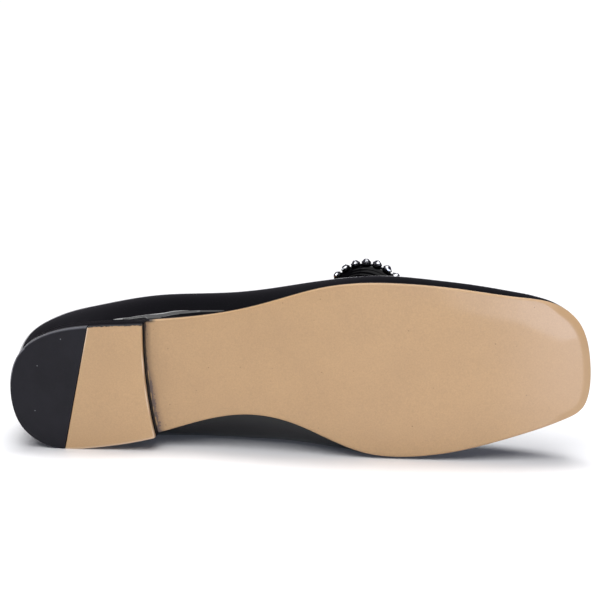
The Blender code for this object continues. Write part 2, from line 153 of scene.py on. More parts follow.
# The bow's two loops, in millimetres: which way each one points, how far its end lies from the bow's
# middle, and how high it lies above the seat at the middle and at its end
LoopRow = namedtuple("LoopRow", "name side reach root_height end_height")
LOOP_ROWS = (
    LoopRow("lateral", -1, 35.0, 5.2, 9.0),
    LoopRow("medial", 1, 28.0, 5.2, 13.0),
)

# Pressed lines beside a loop's fold: how high each one is as a share of the hem, its place, slant and
# width in turns of the ribbon, and how far it runs to both sides of its middle across the ribbon
HemRow = namedtuple("HemRow", "height turn slant width run middle")
HEM_ROWS = (
    HemRow(1.0, 0.075, 0.0, 0.006, 1.6, 0.15),
    HemRow(0.8, 0.103, 0.012, 0.006, 1.3, -0.1),
    HemRow(0.6, 0.135, -0.01, 0.007, 1.2, 0.0),
)

# The panel of light, on the toe's side of the viewer: where it stands and how large it is, in metres, its
# power in watts and its cool colour. It points at the shoe.
PanelRow = namedtuple("PanelRow", "name place width height power colour")
PANEL_ROWS = (PanelRow("Front_panel", (0.62, -1.21, 0.17), 0.92, 0.32, 6.5, (0.85, 0.94, 1.16)),)

# Distant soft lights: where each one shines from, how wide it looks in degrees, and its strength
SkyRow = namedtuple("SkyRow", "name place width strength")
SKY_ROWS = (
    SkyRow("Overhead_light", (-0.03, -0.577, 1.0), 56, 2.0),
    SkyRow("Back_left_light", (-0.17, 0.22, 1.0), 25, 1.3),
    SkyRow("Back_right_light", (0.17, 0.22, 1.0), 25, 1.3),
    SkyRow("Side_light", (-0.69, -0.366, 1.0), 18, 0.16),
)
ROOM_COLOUR = (0.97, 0.93, 1.1, 1.0)


def linear(hex_colour):
    """An sRGB hex colour as linear red, green and blue."""
    channels = [int(hex_colour[i : i + 2], 16) / 255 for i in (1, 3, 5)]
    return tuple(c / 12.92 if c <= 0.04045 else ((c + 0.055) / 1.055) ** 2.4 for c in channels)


def length(name, description, default):
    """A length in metres that a user may change."""
    return FloatProperty(name=name, description=description, default=default, unit="LENGTH", precision=4)


def colour(name, description, default):
    """A colour that a user may change."""
    return FloatVectorProperty(
        name=name,
        description=description,
        default=linear(default),
        subtype="COLOR",
        size=3,
        min=0.0,
        max=1.0,
    )


class SoleSizes(bpy.types.PropertyGroup):
    """Sizes of the sole, insole and heel."""

    sole_length: length("Length", "Outsole from heel to toe", 246 * MM)
    thickness: length("Thickness", "Outsole's thickness", 3.0 * MM)
    toe_spring: length("Toe spring", "How far the toe lifts off the floor", 7.0 * MM)
    side_round: length("Side round", "Width of the rounding along the sole's sides", 0.7 * MM)
    toe_round: length("Toe round", "Width of the bevelled strip round the toe", 3.4 * MM)
    insole_inset: length("Insole inset", "How far the insole stays inside the outsole", 3.0 * MM)
    insole_thickness: length("Insole thickness", "Insole's thickness", 2.4 * MM)
    heel_height: length("Heel height", "Floor to outsole", 7.5 * MM)
    lift_thickness: length("Lift thickness", "Leather lift and rubber tip", 3.0 * MM)
    breast_lateral: length("Breast, outer", "Heel's front on the outer side", 58.9 * MM)
    breast_medial: length("Breast, inner", "Heel's front on the inner side", 61.2 * MM)
    breast_hollow: length("Breast hollow", "How far the heel's front curves in", 1.6 * MM)
    breast_step: length("Breast step", "How far the block stands out in front of the lift", 0.35 * MM)
    split_lateral: length("Tip, outer", "Rubber tip's front on the outer side", 35.2 * MM)
    split_medial: length("Tip, inner", "Rubber tip's front on the inner side", 21.7 * MM)


class UpperSizes(bpy.types.PropertyGroup):
    """Sizes of the upper, its lining and its seams."""

    feather_inset: length("Feather inset", "How far the wall starts inside the outsole", 0.7 * MM)
    gap: length("Gap", "Seating gap between glued pieces", 0.3 * MM)
    skin: length("Patent thickness", "Patent skin", 0.9 * MM)
    lining: length("Lining thickness", "Lining leather", 0.55 * MM)
    lip_tuck: length("Lip tuck", "How far the wall runs in under the fold at the sole", 0.9 * MM)
    lip_crest: length("Lip crest", "How far the fold's upper edge stands out", 0.11 * MM)
    seam_ridge: length("Back seam ridge", "Height of the back seam's two ridges", 0.5 * MM)
    stitch_pitch: length("Stitch pitch", "From stitch to stitch", 2.6 * MM)
    stitch_width: length("Stitch width", "Thread's width", 0.5 * MM)
    stitch_inset: length("Stitch inset", "Stitch row below the top edge", 2.4 * MM)


class BowSizes(bpy.types.PropertyGroup):
    """Sizes of the bow and its stones."""

    along: length("Place", "Bow's middle from the heel's end", 147.5 * MM)
    ribbon: length("Ribbon thickness", "Folded patent ribbon", 1.0 * MM)
    loop_root: length("Loop root", "Where a loop leaves the knot", 5.4 * MM)
    loop_opening: length("Loop opening", "Height of a loop's fold", 7.5 * MM)
    root_half: length("Root half-width", "Half the ribbon's width at the knot", 6.0 * MM)
    end_half: length("End half-width", "Half the ribbon's width at the fold", 15.5 * MM)
    pleat: length("Pleat", "Height of the gathers beside the knot", 0.45 * MM)
    hem: length("Hem", "Height of the pressed lines along a loop's fold", 0.2 * MM)
    stone_radius: length("Stone radius", "Round stones along the rim", 2.05 * MM)
    stone_height: length("Stone height", "Stone and cup", 2.4 * MM)
    stone_pitch: length("Stone pitch", "From stone to stone", 4.6 * MM)


class FinishColours(bpy.types.PropertyGroup):
    """Colours of the finishes."""

    sole_tan: colour("Sole tan", "Waxed sole leather", "#B08E66")
    sole_shade: colour("Sole shade", "Clouds in the sole leather", "#A3835F")
    sole_edge: colour("Sole edge", "Burnished toe edge", "#AB8961")
    lining_tan: colour("Lining tan", "Lining and insole leather", "#BE9A74")
    patent: colour("Patent", "Patent coat", "#08080A")
    ink: colour("Edge ink", "Ink on the heel and sole edges", "#0E0D10")
    rubber: colour("Tip rubber", "Rubber tip", "#17161B")
    thread: colour("Thread", "Stitches", "#0C0C0E")
    stone: colour("Stone", "Clear stones on foil", "#E4E6EC")
    cup: colour("Cup", "Plated cups", "#3C3C40")


class StageLook(bpy.types.PropertyGroup):
    """Camera and light."""

    target: FloatVectorProperty(
        name="Target",
        description="Point that the camera looks at",
        default=(2.7 * MM, -33.4 * MM, 68.1 * MM),
        subtype="TRANSLATION",
        unit="LENGTH",
    )
    distance: length("Distance", "Camera to target", 1.0)
    azimuth: FloatProperty(
        name="Azimuth", description="Camera's turn to the toe", default=math.radians(7.19), subtype="ANGLE"
    )
    elevation: FloatProperty(
        name="Elevation", description="Camera's height angle", default=math.radians(12.45), subtype="ANGLE"
    )
    roll: FloatProperty(
        name="Roll", description="Camera's roll", default=math.radians(-0.12), subtype="ANGLE"
    )
    lens: FloatProperty(name="Lens", description="Focal length in millimetres", default=144.1)
    room: FloatProperty(name="Room light", description="Brightness of the room", default=0.09)
    sky: FloatProperty(name="Sky light", description="Share of the distant soft lights", default=1.0)
    floor: colour("Floor", "Floor's paint", "#F4F4F5")


class BalletFlatSettings(bpy.types.PropertyGroup):
    """All sizes, colours and the stage."""

    sole: PointerProperty(type=SoleSizes)
    upper: PointerProperty(type=UpperSizes)
    bow: PointerProperty(type=BowSizes)
    colours: PointerProperty(type=FinishColours)
    stage: PointerProperty(type=StageLook)


# The shoe's shape

SEAT_END = 64 * MM
TREAD_START = 150 * MM
TREAD_END = 184 * MM
LOOP_ROUNDING = 0.97
LOOP_FLARE = 0.7
LAYER_SPACE = 1.1 * MM
CHAIN_START = 0.2
CHAIN_CLEAR = 0.6 * MM
SAMPLES = 2400

# The toe's bevelled strip starts here, and the edge's ink stops a little further on
TOE_STRIP_START = 225 * MM
TOE_INK_END = 229 * MM

# Where the slack fold starts and ends along the outer side, and the height it fades over, in millimetres
FOLD_START = 46
FOLD_END = 97
FOLD_FADE = 2.6

# Relief of the upper's wall
PLEAT_DEPTH = 0.1 * MM
TURNED_RISE = 0.22 * MM
GROOVE_DEPTH = 0.14 * MM

# Widths of the rounded cut edges
BLOCK_BEVEL = 0.12 * MM
TIP_BEVEL = 0.35 * MM
LIFT_BEVEL = 0.3 * MM
RIBBON_BEVEL = 0.22 * MM


def smooth_step(value):
    """Rises from 0 to 1 with level ends."""
    t = np.clip(value, 0.0, 1.0)
    return t * t * (3 - 2 * t)


def bell(value, width):
    """A bump of height 1 at zero."""
    return np.exp(-((value / width) ** 2))


def unit(rows):
    """Vectors at length one, along the last axis."""
    return rows / np.linalg.norm(rows, axis=-1, keepdims=True)


def run_along(path):
    """The distance travelled at each point of a path."""
    return np.concatenate([[0.0], np.cumsum(np.linalg.norm(np.diff(path, axis=0), axis=1))])


def closed_spline(knots, values, period):
    """A smooth closed curve through the values at the knots, as a function of the parameter."""
    knots = np.asarray(knots, float)
    values = np.asarray(values, float)
    count = len(knots)
    gaps = np.diff(np.append(knots, knots[0] + period))
    slopes = (np.roll(values, -1, axis=0) - values) / gaps[:, None]
    system = np.zeros((count, count))
    right = np.zeros_like(values)
    for i in range(count):
        before, after = gaps[i - 1], gaps[i]
        system[i, i - 1] += after
        system[i, i] += 2 * (before + after)
        system[i, (i + 1) % count] += before
        right[i] = 3 * (after * slopes[i - 1] + before * slopes[i])
    tangents = np.linalg.solve(system, right)

    def at(parameter):
        p = np.mod(np.asarray(parameter, float) - knots[0], period) + knots[0]
        i = np.clip(np.searchsorted(knots, p, side="right") - 1, 0, count - 1)
        j = (i + 1) % count
        width = gaps[i][:, None]
        t = (p - knots[i])[:, None] / width
        start = (1 + 2 * t) * (1 - t) ** 2 * values[i] + t * (1 - t) ** 2 * width * tangents[i]
        end = t * t * (3 - 2 * t) * values[j] + t * t * (t - 1) * width * tangents[j]
        return start + end

    return at


class ShoeForm:
    """The shoe's curves and faces in its own frame, in metres."""

    def __init__(self, settings):
        self.sole = settings.sole
        self.upper = settings.upper
        self.bow = settings.bow
        self.outline = self.sole_outline()
        self.topline = self.top_edge()
        self.seat, self.to_toe, self.up = self.bow_seat()

    def sole_outline(self):
        """The sole's outline by u: 0 at the heel, 1 at the toe by the outer side, 2 at the heel again."""
        reach = self.sole.sole_length
        lateral = [(row.station * reach, -row.lateral * MM) for row in SOLE_ROWS]
        medial = [(row.station * reach, row.medial * MM) for row in reversed(SOLE_ROWS)]
        points = [(0.0, SOLE_BACK * MM), *lateral, (reach, SOLE_TOE * MM), *medial]
        knots = run_along(np.array(points + points[:1]))
        curve = closed_spline(knots[:-1], points, knots[-1])
        fine = np.linspace(0.0, knots[-1], SAMPLES + 1)
        run = run_along(curve(fine))
        toe_run = np.interp(knots[len(lateral) + 1], fine, run)

        def at(u):
            u = np.mod(np.asarray(u, float), 2.0)
            along = np.where(u <= 1, u * toe_run, toe_run + (u - 1) * (run[-1] - toe_run))
            return curve(np.interp(along, run, fine))

        return at

    def top_edge(self):
        """The upper's rows as a closed function of u: the top edge's place, out, rise, reach and drop."""
        lateral = [
            (r.share, (r.top_along, -r.top_lateral, r.top_height, r.out_lateral, r.rise, r.reach, r.drop))
            for r in UPPER_ROWS
        ]
        medial = [
            (2 - r.share, (r.top_along, r.top_medial, r.top_height, r.out_medial, r.rise, r.reach, r.drop))
            for r in reversed(UPPER_ROWS[1:-1])
        ]
        knots, values = zip(*(lateral + medial))
        return closed_spline(knots, np.array(values) * MM, 2.0)

    def outward(self, curve, u):
        """Level directions that point away from the inside of a closed curve."""
        step = 1e-4
        along = unit(curve(u + step)[:, :2] - curve(u - step)[:, :2])
        return np.stack([along[:, 1], -along[:, 0]], axis=1)

    def inset_outline(self, u, inset):
        """The sole's outline moved inwards."""
        return self.outline(u) - np.reshape(inset, (-1, 1)) * self.outward(self.outline, u)

    def tread_height(self, x):
        """The sole's underside along its length: level at the heel, down to the tread, up to the toe."""
        arch = self.sole.heel_height * (1 - smooth_step((x - SEAT_END) / (TREAD_START - SEAT_END)))
        rise = np.clip((x - TREAD_END) / (self.sole.sole_length - TREAD_END), 0.0, None)
        return arch + self.sole.toe_spring * rise**2

    def upper_points(self, u, v):
        """Points of the upper's outer face: u goes round the foot, v from the sole to the top edge."""
        foot = self.inset_outline(u, self.upper.feather_inset)
        edge = self.topline(u)
        out, rise, reach, drop = edge[:, 3:4], edge[:, 4:5], edge[:, 5:6], edge[:, 6:7]
        level = np.zeros((len(u), 1))
        up = np.array([0.0, 0.0, 1.0])
        height = self.tread_height(foot[:, 0]) + self.sole.thickness + self.upper.gap
        start = np.column_stack([foot, height])
        end = edge[:, :3]
        swell = start + out * np.hstack([self.outward(self.outline, u), level]) + rise * up
        lean = end + reach * np.hstack([self.outward(self.topline, u), level]) - drop * up
        t = v[:, None]
        return (1 - t) ** 3 * start + 3 * (1 - t) ** 2 * t * swell + 3 * (1 - t) * t * t * lean + t**3 * end

    def bow_seat(self):
        """Where the bow sits: a point on the vamp's ridge, the way to the toe and the way out."""
        ridge = self.upper_points(np.ones(SAMPLES), np.linspace(1.0, 0.5, SAMPLES))
        seat, ahead = (
            np.array([np.interp(along, ridge[:, 0], ridge[:, axis]) for axis in range(3)])
            for along in (self.bow.along, self.bow.along + MM)
        )
        to_toe = unit(ahead - seat)
        return seat, to_toe, unit(np.cross(to_toe, [0.0, 1.0, 0.0]))

    def loop_points(self, row, turn, across, hem=0.0):
        """A folded ribbon: turn goes out by its lower layer and back by the upper one, across spans it."""
        bow = self.bow
        longest = row.reach * MM
        round_end = 1 - np.sqrt(1 - (LOOP_ROUNDING * across) ** 2)
        reach = longest - bow.end_half * round_end
        out = bow.loop_root + (reach - bow.loop_root) * 0.5 * (1 - np.cos(2 * np.pi * turn))
        spread = smooth_step((out - bow.loop_root) / (LOOP_FLARE * (longest - bow.loop_root)))
        half = bow.root_half + (bow.end_half - bow.root_half) * spread
        middle = MM * (row.root_height + (row.end_height - row.root_height) * out / longest)
        bulge = np.sin(2 * np.pi * turn) * np.sqrt(np.abs(np.sin(np.pi * turn)))
        opening = 0.5 * bow.loop_opening * bulge
        gather = bow.pleat * np.cos(7.0 * across) * np.exp(-(out - bow.loop_root) / (8 * MM))
        fold = np.abs(turn - 0.5)
        hems = sum(
            line.height
            * bell(fold - line.turn - line.slant * across, line.width)
            * smooth_step(line.run - 1.4 * np.abs(across - line.middle))
            for line in HEM_ROWS
        )
        height = middle - opening + LAYER_SPACE * (2 * turn - 1) + gather + hem * hems
        sideways = np.array([0.0, row.side, 0.0])
        flat = out[:, None] * sideways + (across * half)[:, None] * self.to_toe
        return self.seat + flat + height[:, None] * self.up

    def stone_seats(self, row):
        """Where a loop's stones sit, evenly round its upper layer's edge, and which way is out there."""
        share = np.linspace(CHAIN_START, 1.0, 40)
        fold = np.linspace(1.0, -1.0, 80)[1:-1]
        shares = np.concatenate([share, np.ones(len(fold)), share[::-1]])
        across = np.concatenate([np.ones(40), fold, -np.ones(40)])
        rim = self.loop_points(row, 1 - np.arccos(1 - 2 * shares) / (2 * np.pi), across)
        ways = unit(row.side * np.cross(np.gradient(rim, axis=0), self.up))
        run = run_along(rim)
        count = int(run[-1] // self.bow.stone_pitch)
        spare = run[-1] - count * self.bow.stone_pitch
        places = spare / 2 + self.bow.stone_pitch * np.arange(count + 1)
        seats, ways = (
            np.column_stack([np.interp(places, run, column) for column in rows.T]) for rows in (rim, ways)
        )
        return seats + (CHAIN_CLEAR + self.upper.gap) * ways, unit(ways)


def shoe_to_row():
    """The turn and shift from the shoe's own frame to the solids' frame, from the record's two treads."""
    mounts = {mount["name"]: mount for mount in frame["record"]["mounts"]}
    heel = Vector(mounts["heel_tread"]["pos_m"])
    along = (Vector(mounts["forefoot_tread"]["pos_m"]) - heel).normalized()
    up = -Vector(mounts["heel_tread"]["axis"])
    up = (up - along * up.dot(along)).normalized()
    turn = Matrix((along, up.cross(along), up)).transposed().to_4x4()
    return Matrix.Translation(heel - along * HEEL_TREAD_ALONG) @ turn


SHOE_TO_ROW = shoe_to_row()


# Meshes and pieces

WELD = 2e-6


def grid_mesh(name, points, close_columns=False, close_rows=False):
    """A mesh of quads over a table of points, rows by columns, whose ends may be joined."""
    rows, columns = points.shape[:2]
    index = np.arange(rows * columns).reshape(rows, columns)
    if close_columns:
        index = np.hstack([index, index[:, :1]])
    if close_rows:
        index = np.vstack([index, index[:1]])
    corners = (index[:-1, :-1], index[:-1, 1:], index[1:, 1:], index[1:, :-1])
    faces = np.stack(corners, axis=-1).reshape(-1, 4)
    mesh = bpy.data.meshes.new(name)
    mesh.from_pydata(points.reshape(-1, 3).tolist(), [], faces.tolist())
    return mesh


def clean_mesh(mesh):
    """Welds points that meet and turns all faces outwards."""
    work = bmesh.new()
    work.from_mesh(mesh)
    bmesh.ops.remove_doubles(work, verts=work.verts, dist=WELD)
    bmesh.ops.dissolve_degenerate(work, edges=work.edges, dist=WELD)
    bmesh.ops.recalc_face_normals(work, faces=work.faces)
    work.to_mesh(mesh)
    work.free()


def store(mesh, name, values):
    """Keeps one number for each point of a mesh, for its material to read."""
    layer = mesh.attributes.new(name, "FLOAT", "POINT")
    layer.data.foreach_set("value", np.asarray(values, np.float32))


def mesh_points(mesh):
    """A mesh's points as a table."""
    points = np.empty(len(mesh.vertices) * 3)
    mesh.vertices.foreach_get("co", points)
    return points.reshape(-1, 3)


def nearest_on(points, path):
    """How far each point lies from a path of close points, seen from above, and the nearest of them."""
    tree = KDTree(len(path))
    for number, place in enumerate(path):
        tree.insert((place[0], place[1], 0.0), number)
    tree.balance()
    found = [tree.find((point[0], point[1], 0.0)) for point in points]
    return np.array([hit[2] for hit in found]), np.array([hit[1] for hit in found])


def applied(piece):
    """Turns a piece and its modifiers into a plain mesh."""
    graph = bpy.context.evaluated_depsgraph_get()
    mesh = bpy.data.meshes.new_from_object(piece.evaluated_get(graph))
    piece.modifiers.clear()
    old, piece.data = piece.data, mesh
    mesh.name = piece.name
    if old.users == 0:
        bpy.data.meshes.remove(old)
    return piece


def new_object(name, data):
    """A mesh, a light or a camera as an object in the scene."""
    made = bpy.data.objects.new(name, data)
    bpy.context.scene.collection.objects.link(made)
    return made


def finish_piece(piece, slot, *nodes):
    """Carries a piece into the solids' frame, fixes it to the shoe and lets it stand for its solids."""
    piece.data.transform(SHOE_TO_ROW)
    piece.data.update()
    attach(piece, BODY)
    if nodes:
        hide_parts(*nodes)


def plate_mesh(form, name, profile, fill_inset, low, high, steps, rows):
    """A sheet with the sole's outline: rings of (inset, height) at its edge, closed by two faces."""
    u = np.linspace(0.0, 2.0, 2 * steps + 1)[:-1]
    rings = []
    for inset, height in profile(u):
        flat = form.inset_outline(u, inset)
        rings.append(np.column_stack([flat, height]))
    edge = grid_mesh(name, np.array(rings), close_columns=True)
    half = np.linspace(0.0, 1.0, steps + 1)
    lateral = form.inset_outline(half, fill_inset(half))
    medial = form.inset_outline(2 - half, fill_inset(2 - half))
    share = 0.5 * (1 - np.cos(np.pi * np.linspace(0.0, 1.0, rows + 1)))
    flat = lateral[None] + (medial - lateral)[None] * share[:, None, None]
    work = bmesh.new()
    work.from_mesh(edge)
    for face in (low, high):
        heights = face(flat.reshape(-1, 2)).reshape(flat.shape[:2] + (1,))
        sheet = grid_mesh(name + "_face", np.concatenate([flat, heights], axis=-1))
        work.from_mesh(sheet)
        bpy.data.meshes.remove(sheet)
    work.to_mesh(edge)
    work.free()
    clean_mesh(edge)
    return edge


# Materials. A colour mix takes its share at socket 0 and its colours at 6 and 7, and gives the colour at
# 2. A map range takes its value at 0, the old range at 1 and 2 and the new one at 3 and 4.


def add_node(tree, kind, sockets=None, **settings):
    """Adds a node with its settings; each socket gets a value or a link from another node."""
    node = tree.nodes.new(kind)
    for name, value in settings.items():
        setattr(node, name, value)
    for key, value in (sockets or {}).items():
        if isinstance(value, bpy.types.NodeSocket):
            tree.links.new(value, node.inputs[key])
        else:
            node.inputs[key].default_value = value
    return node


def new_material(name, sockets):
    """A principled material with its plain values, its tree and its shader."""
    material = bpy.data.materials.new(name)
    material.use_nodes = True
    tree = material.node_tree
    shader = tree.nodes["Principled BSDF"]
    for key, value in sockets.items():
        shader.inputs[key].default_value = value
    return material, tree, shader


def toned(tree, colour, pattern, low, high, dark, bright):
    """A colour that goes from a dark to a bright share of itself as a pattern goes from low to high."""
    share = add_node(
        tree, "ShaderNodeMapRange", {0: pattern, 1: low, 2: high, 3: dark, 4: bright}
    ).outputs[0]
    return add_node(tree, "ShaderNodeVectorMath", {0: colour, "Scale": share}, operation="SCALE").outputs[0]


def tan_grain(tree, shader, colours, place, clouds, low, most):
    """The sole's tan with a cloudy shade and a fine speckle, which also stands out a little."""
    # The speckle of real leather is under 0.3 mm; it is drawn at 0.7 mm so that it shows
    speckle = add_node(
        tree,
        "ShaderNodeTexNoise",
        {"Vector": place, "Scale": 1 / (0.7 * MM), "Detail": 2.0, "Roughness": 0.7},
    ).outputs[0]
    relief = add_node(
        tree, "ShaderNodeBump", {"Height": speckle, "Strength": 0.05, "Distance": 0.1 * MM}
    ).outputs[0]
    tree.links.new(relief, shader.inputs["Normal"])
    share = add_node(tree, "ShaderNodeMapRange", {0: clouds, 1: low, 2: 0.75, 3: 0.0, 4: most}).outputs[0]
    tan = add_node(
        tree,
        "ShaderNodeMix",
        {0: share, 6: (*colours.sole_tan, 1.0), 7: (*colours.sole_shade, 1.0)},
        data_type="RGBA",
    ).outputs[2]
    return toned(tree, tan, speckle, 0.3, 0.7, 0.93, 1.07)


def sole_leather(colours):
    """Waxed bend leather: an even tan with faint clouds, fine speckle, scattered pores and a soft sheen,
    with a painted sheen at the toe and a painted shadow beside the heel.
    """
    material, tree, shader = new_material("Waxed_bend_leather", {"IOR": 1.5})
    place = add_node(tree, "ShaderNodeTexCoord").outputs["Object"]
    clouds = add_node(
        tree,
        "ShaderNodeTexNoise",
        {"Vector": place, "Scale": 1 / (26 * MM), "Detail": 5.0, "Roughness": 0.72},
    ).outputs[0]
    edge, toe, spring, breast, side_ink = (
        add_node(tree, "ShaderNodeAttribute", attribute_name=name).outputs["Fac"]
        for name in ("edge", "toe", "spring", "breast", "ink")
    )

    # The sole faces the solids' Y, so its pores are strewn over X and Z
    facing = add_node(tree, "ShaderNodeMapping", {0: place, "Rotation": (math.pi / 2, 0, 0)}).outputs[0]
    pores = add_node(
        tree, "ShaderNodeTexVoronoi", {"Vector": facing, "Scale": 1 / (17 * MM)}, voronoi_dimensions="2D"
    )
    depth = add_node(tree, "ShaderNodeSeparateColor", {0: pores.outputs["Color"]}).outputs[0]
    hole = add_node(
        tree, "ShaderNodeMapRange", {0: pores.outputs["Distance"], 1: 0.01, 2: 0.02, 3: 0.75, 4: 0.0}
    ).outputs[0]
    pored = add_node(tree, "ShaderNodeMath", {0: hole, 1: depth}, operation="MULTIPLY").outputs[0]

    # Painted sheen: the toe is painted paler, standing in for the soft light it catches; a burnished strip
    # runs round it
    pulled = add_node(tree, "ShaderNodeMath", {0: spring, 1: 0.35}, operation="MULTIPLY").outputs[0]
    rim = add_node(tree, "ShaderNodeMapRange", {0: edge, 1: 2.4, 2: 3.6, 3: 0.7, 4: 0.0}).outputs[0]
    burnished = add_node(tree, "ShaderNodeMath", {0: rim, 1: toe}, operation="MULTIPLY").outputs[0]

    # Cement left along the heel's front: dark crumbs in a thin ragged strip. Beside it a brown painted
    # shadow, where the heel's front shades the sole
    ragged = add_node(
        tree,
        "ShaderNodeTexNoise",
        {"Vector": place, "Scale": 1 / (1.1 * MM), "Detail": 4.0, "Roughness": 0.7},
    ).outputs[0]
    reach = add_node(
        tree, "ShaderNodeMapRange", {0: ragged, 1: 0.3, 2: 0.7, 3: -1.2, 4: 1.2}, clamp=False
    ).outputs[0]
    strip = add_node(tree, "ShaderNodeMath", {0: breast, 1: reach}, operation="ADD").outputs[0]
    crumb = add_node(tree, "ShaderNodeMapRange", {0: strip, 1: 1.5, 2: 1.75, 3: 0.85, 4: 0.0}).outputs[0]
    # Painted shadow of the heel's front on the sole
    shade = add_node(tree, "ShaderNodeMapRange", {0: breast, 1: 1.2, 2: 4.0, 3: 0.6, 4: 0.0}).outputs[0]

    tone = tan_grain(tree, shader, colours, place, clouds, 0.4, 0.45)
    for share, paint in (
        (pored, linear("#6B4E33")),
        (pulled, linear("#C4A68B")),
        (burnished, colours.sole_edge),
        (side_ink, colours.ink),
        (shade, linear("#765A4A")),
        (crumb, linear("#655650")),
    ):
        tone = add_node(
            tree, "ShaderNodeMix", {0: share, 6: tone, 7: (*paint, 1.0)}, data_type="RGBA"
        ).outputs[2]
    tree.links.new(tone, shader.inputs["Base Color"])
    rough = add_node(tree, "ShaderNodeMapRange", {0: clouds, 1: 0.3, 2: 0.7, 3: 0.33, 4: 0.38}).outputs[0]
    tree.links.new(rough, shader.inputs["Roughness"])
    return material


def lift_leather(colours):
    """The lift's leather: the sole's tan, painted pale at its cut edges, partly for the raw cut and partly
    as a painted highlight, and raggedly inked along the outer one.
    """
    material, tree, shader = new_material("Inked_lift_leather", {"IOR": 1.5})
    place = add_node(tree, "ShaderNodeTexCoord").outputs["Object"]
    clouds = add_node(
        tree, "ShaderNodeTexNoise", {"Vector": place, "Scale": 1 / (18 * MM), "Detail": 3.0}
    ).outputs[0]
    ragged = add_node(
        tree,
        "ShaderNodeTexNoise",
        {"Vector": place, "Scale": 1 / (1.8 * MM), "Detail": 3.0, "Roughness": 0.65},
    ).outputs[0]
    cut, ink_edge = (
        add_node(tree, "ShaderNodeAttribute", attribute_name=name).outputs["Fac"]
        for name in ("cut", "ink")
    )
    reach = add_node(
        tree, "ShaderNodeMapRange", {0: ragged, 1: 0.3, 2: 0.7, 3: -0.35, 4: 0.35}, clamp=False
    ).outputs[0]
    front = add_node(tree, "ShaderNodeMath", {0: ink_edge, 1: reach}, operation="ADD").outputs[0]
    inked = add_node(tree, "ShaderNodeMapRange", {0: front, 1: 0.3, 2: 0.5, 3: 1.0, 4: 0.0}).outputs[0]

    tone = tan_grain(tree, shader, colours, place, clouds, 0.35, 0.4)
    # The pale cut edges are partly a painted highlight
    for share, paint in ((cut, linear("#DCC6AC")), (inked, colours.ink)):
        tone = add_node(
            tree, "ShaderNodeMix", {0: share, 6: tone, 7: (*paint, 1.0)}, data_type="RGBA"
        ).outputs[2]
    tree.links.new(tone, shader.inputs["Base Color"])
    rough = add_node(tree, "ShaderNodeMapRange", {0: inked, 1: 0.0, 2: 1.0, 3: 0.46, 4: 0.3}).outputs[0]
    tree.links.new(rough, shader.inputs["Roughness"])
    return material


def tip_rubber(colours):
    """Moulded and ground rubber: dark grey, with a dull bloom, fine pits, specks of dust and a painted
    highlight along its outer rim.
    """
    material, tree, shader = new_material("Ground_rubber", {"IOR": 1.52, "Specular IOR Level": 0.18})
    place = add_node(tree, "ShaderNodeTexCoord").outputs["Object"]
    bloom = add_node(
        tree, "ShaderNodeTexNoise", {"Vector": place, "Scale": 1 / (9 * MM), "Detail": 3.0}
    ).outputs[0]
    pits = add_node(
        tree, "ShaderNodeTexNoise", {"Vector": place, "Scale": 1 / (0.6 * MM), "Detail": 2.0}
    ).outputs[0]
    facing = add_node(tree, "ShaderNodeMapping", {0: place, "Rotation": (math.pi / 2, 0, 0)}).outputs[0]
    dust = add_node(
        tree, "ShaderNodeTexVoronoi", {"Vector": facing, "Scale": 1 / (11 * MM)}, voronoi_dimensions="2D"
    )
    strewn = add_node(tree, "ShaderNodeSeparateColor", {0: dust.outputs["Color"]}).outputs[0]
    kept = add_node(tree, "ShaderNodeMath", {0: strewn, 1: 0.5}, operation="GREATER_THAN").outputs[0]
    near = add_node(
        tree, "ShaderNodeMapRange", {0: dust.outputs["Distance"], 1: 0.014, 2: 0.026, 3: 0.4, 4: 0.0}
    ).outputs[0]
    speck = add_node(tree, "ShaderNodeMath", {0: near, 1: kept}, operation="MULTIPLY").outputs[0]
    rim, edge = (
        add_node(tree, "ShaderNodeAttribute", attribute_name=name).outputs["Fac"]
        for name in ("rim", "edge")
    )
    tone = toned(tree, colours.rubber, bloom, 0.3, 0.7, 0.85, 1.15)
    # The rim is a painted highlight along the tip's outer edge
    for share, paint in ((speck, linear("#A3A3A6")), (rim, linear("#F2F2F8"))):
        tone = add_node(
            tree, "ShaderNodeMix", {0: share, 6: tone, 7: (*paint, 1.0)}, data_type="RGBA"
        ).outputs[2]
    tree.links.new(tone, shader.inputs["Base Color"])
    grit = add_node(tree, "ShaderNodeMapRange", {0: pits, 1: 0.3, 2: 0.7, 3: 0.46, 4: 0.6}).outputs[0]
    polish = add_node(tree, "ShaderNodeMapRange", {0: edge, 1: 0.2, 2: 0.5, 3: 0.4, 4: 1.0}).outputs[0]
    rough = add_node(tree, "ShaderNodeMath", {0: grit, 1: polish}, operation="MULTIPLY").outputs[0]
    tree.links.new(rough, shader.inputs["Roughness"])
    relief = add_node(
        tree, "ShaderNodeBump", {"Height": pits, "Strength": 0.15, "Distance": 0.1 * MM}
    ).outputs[0]
    tree.links.new(relief, shader.inputs["Normal"])
    return material


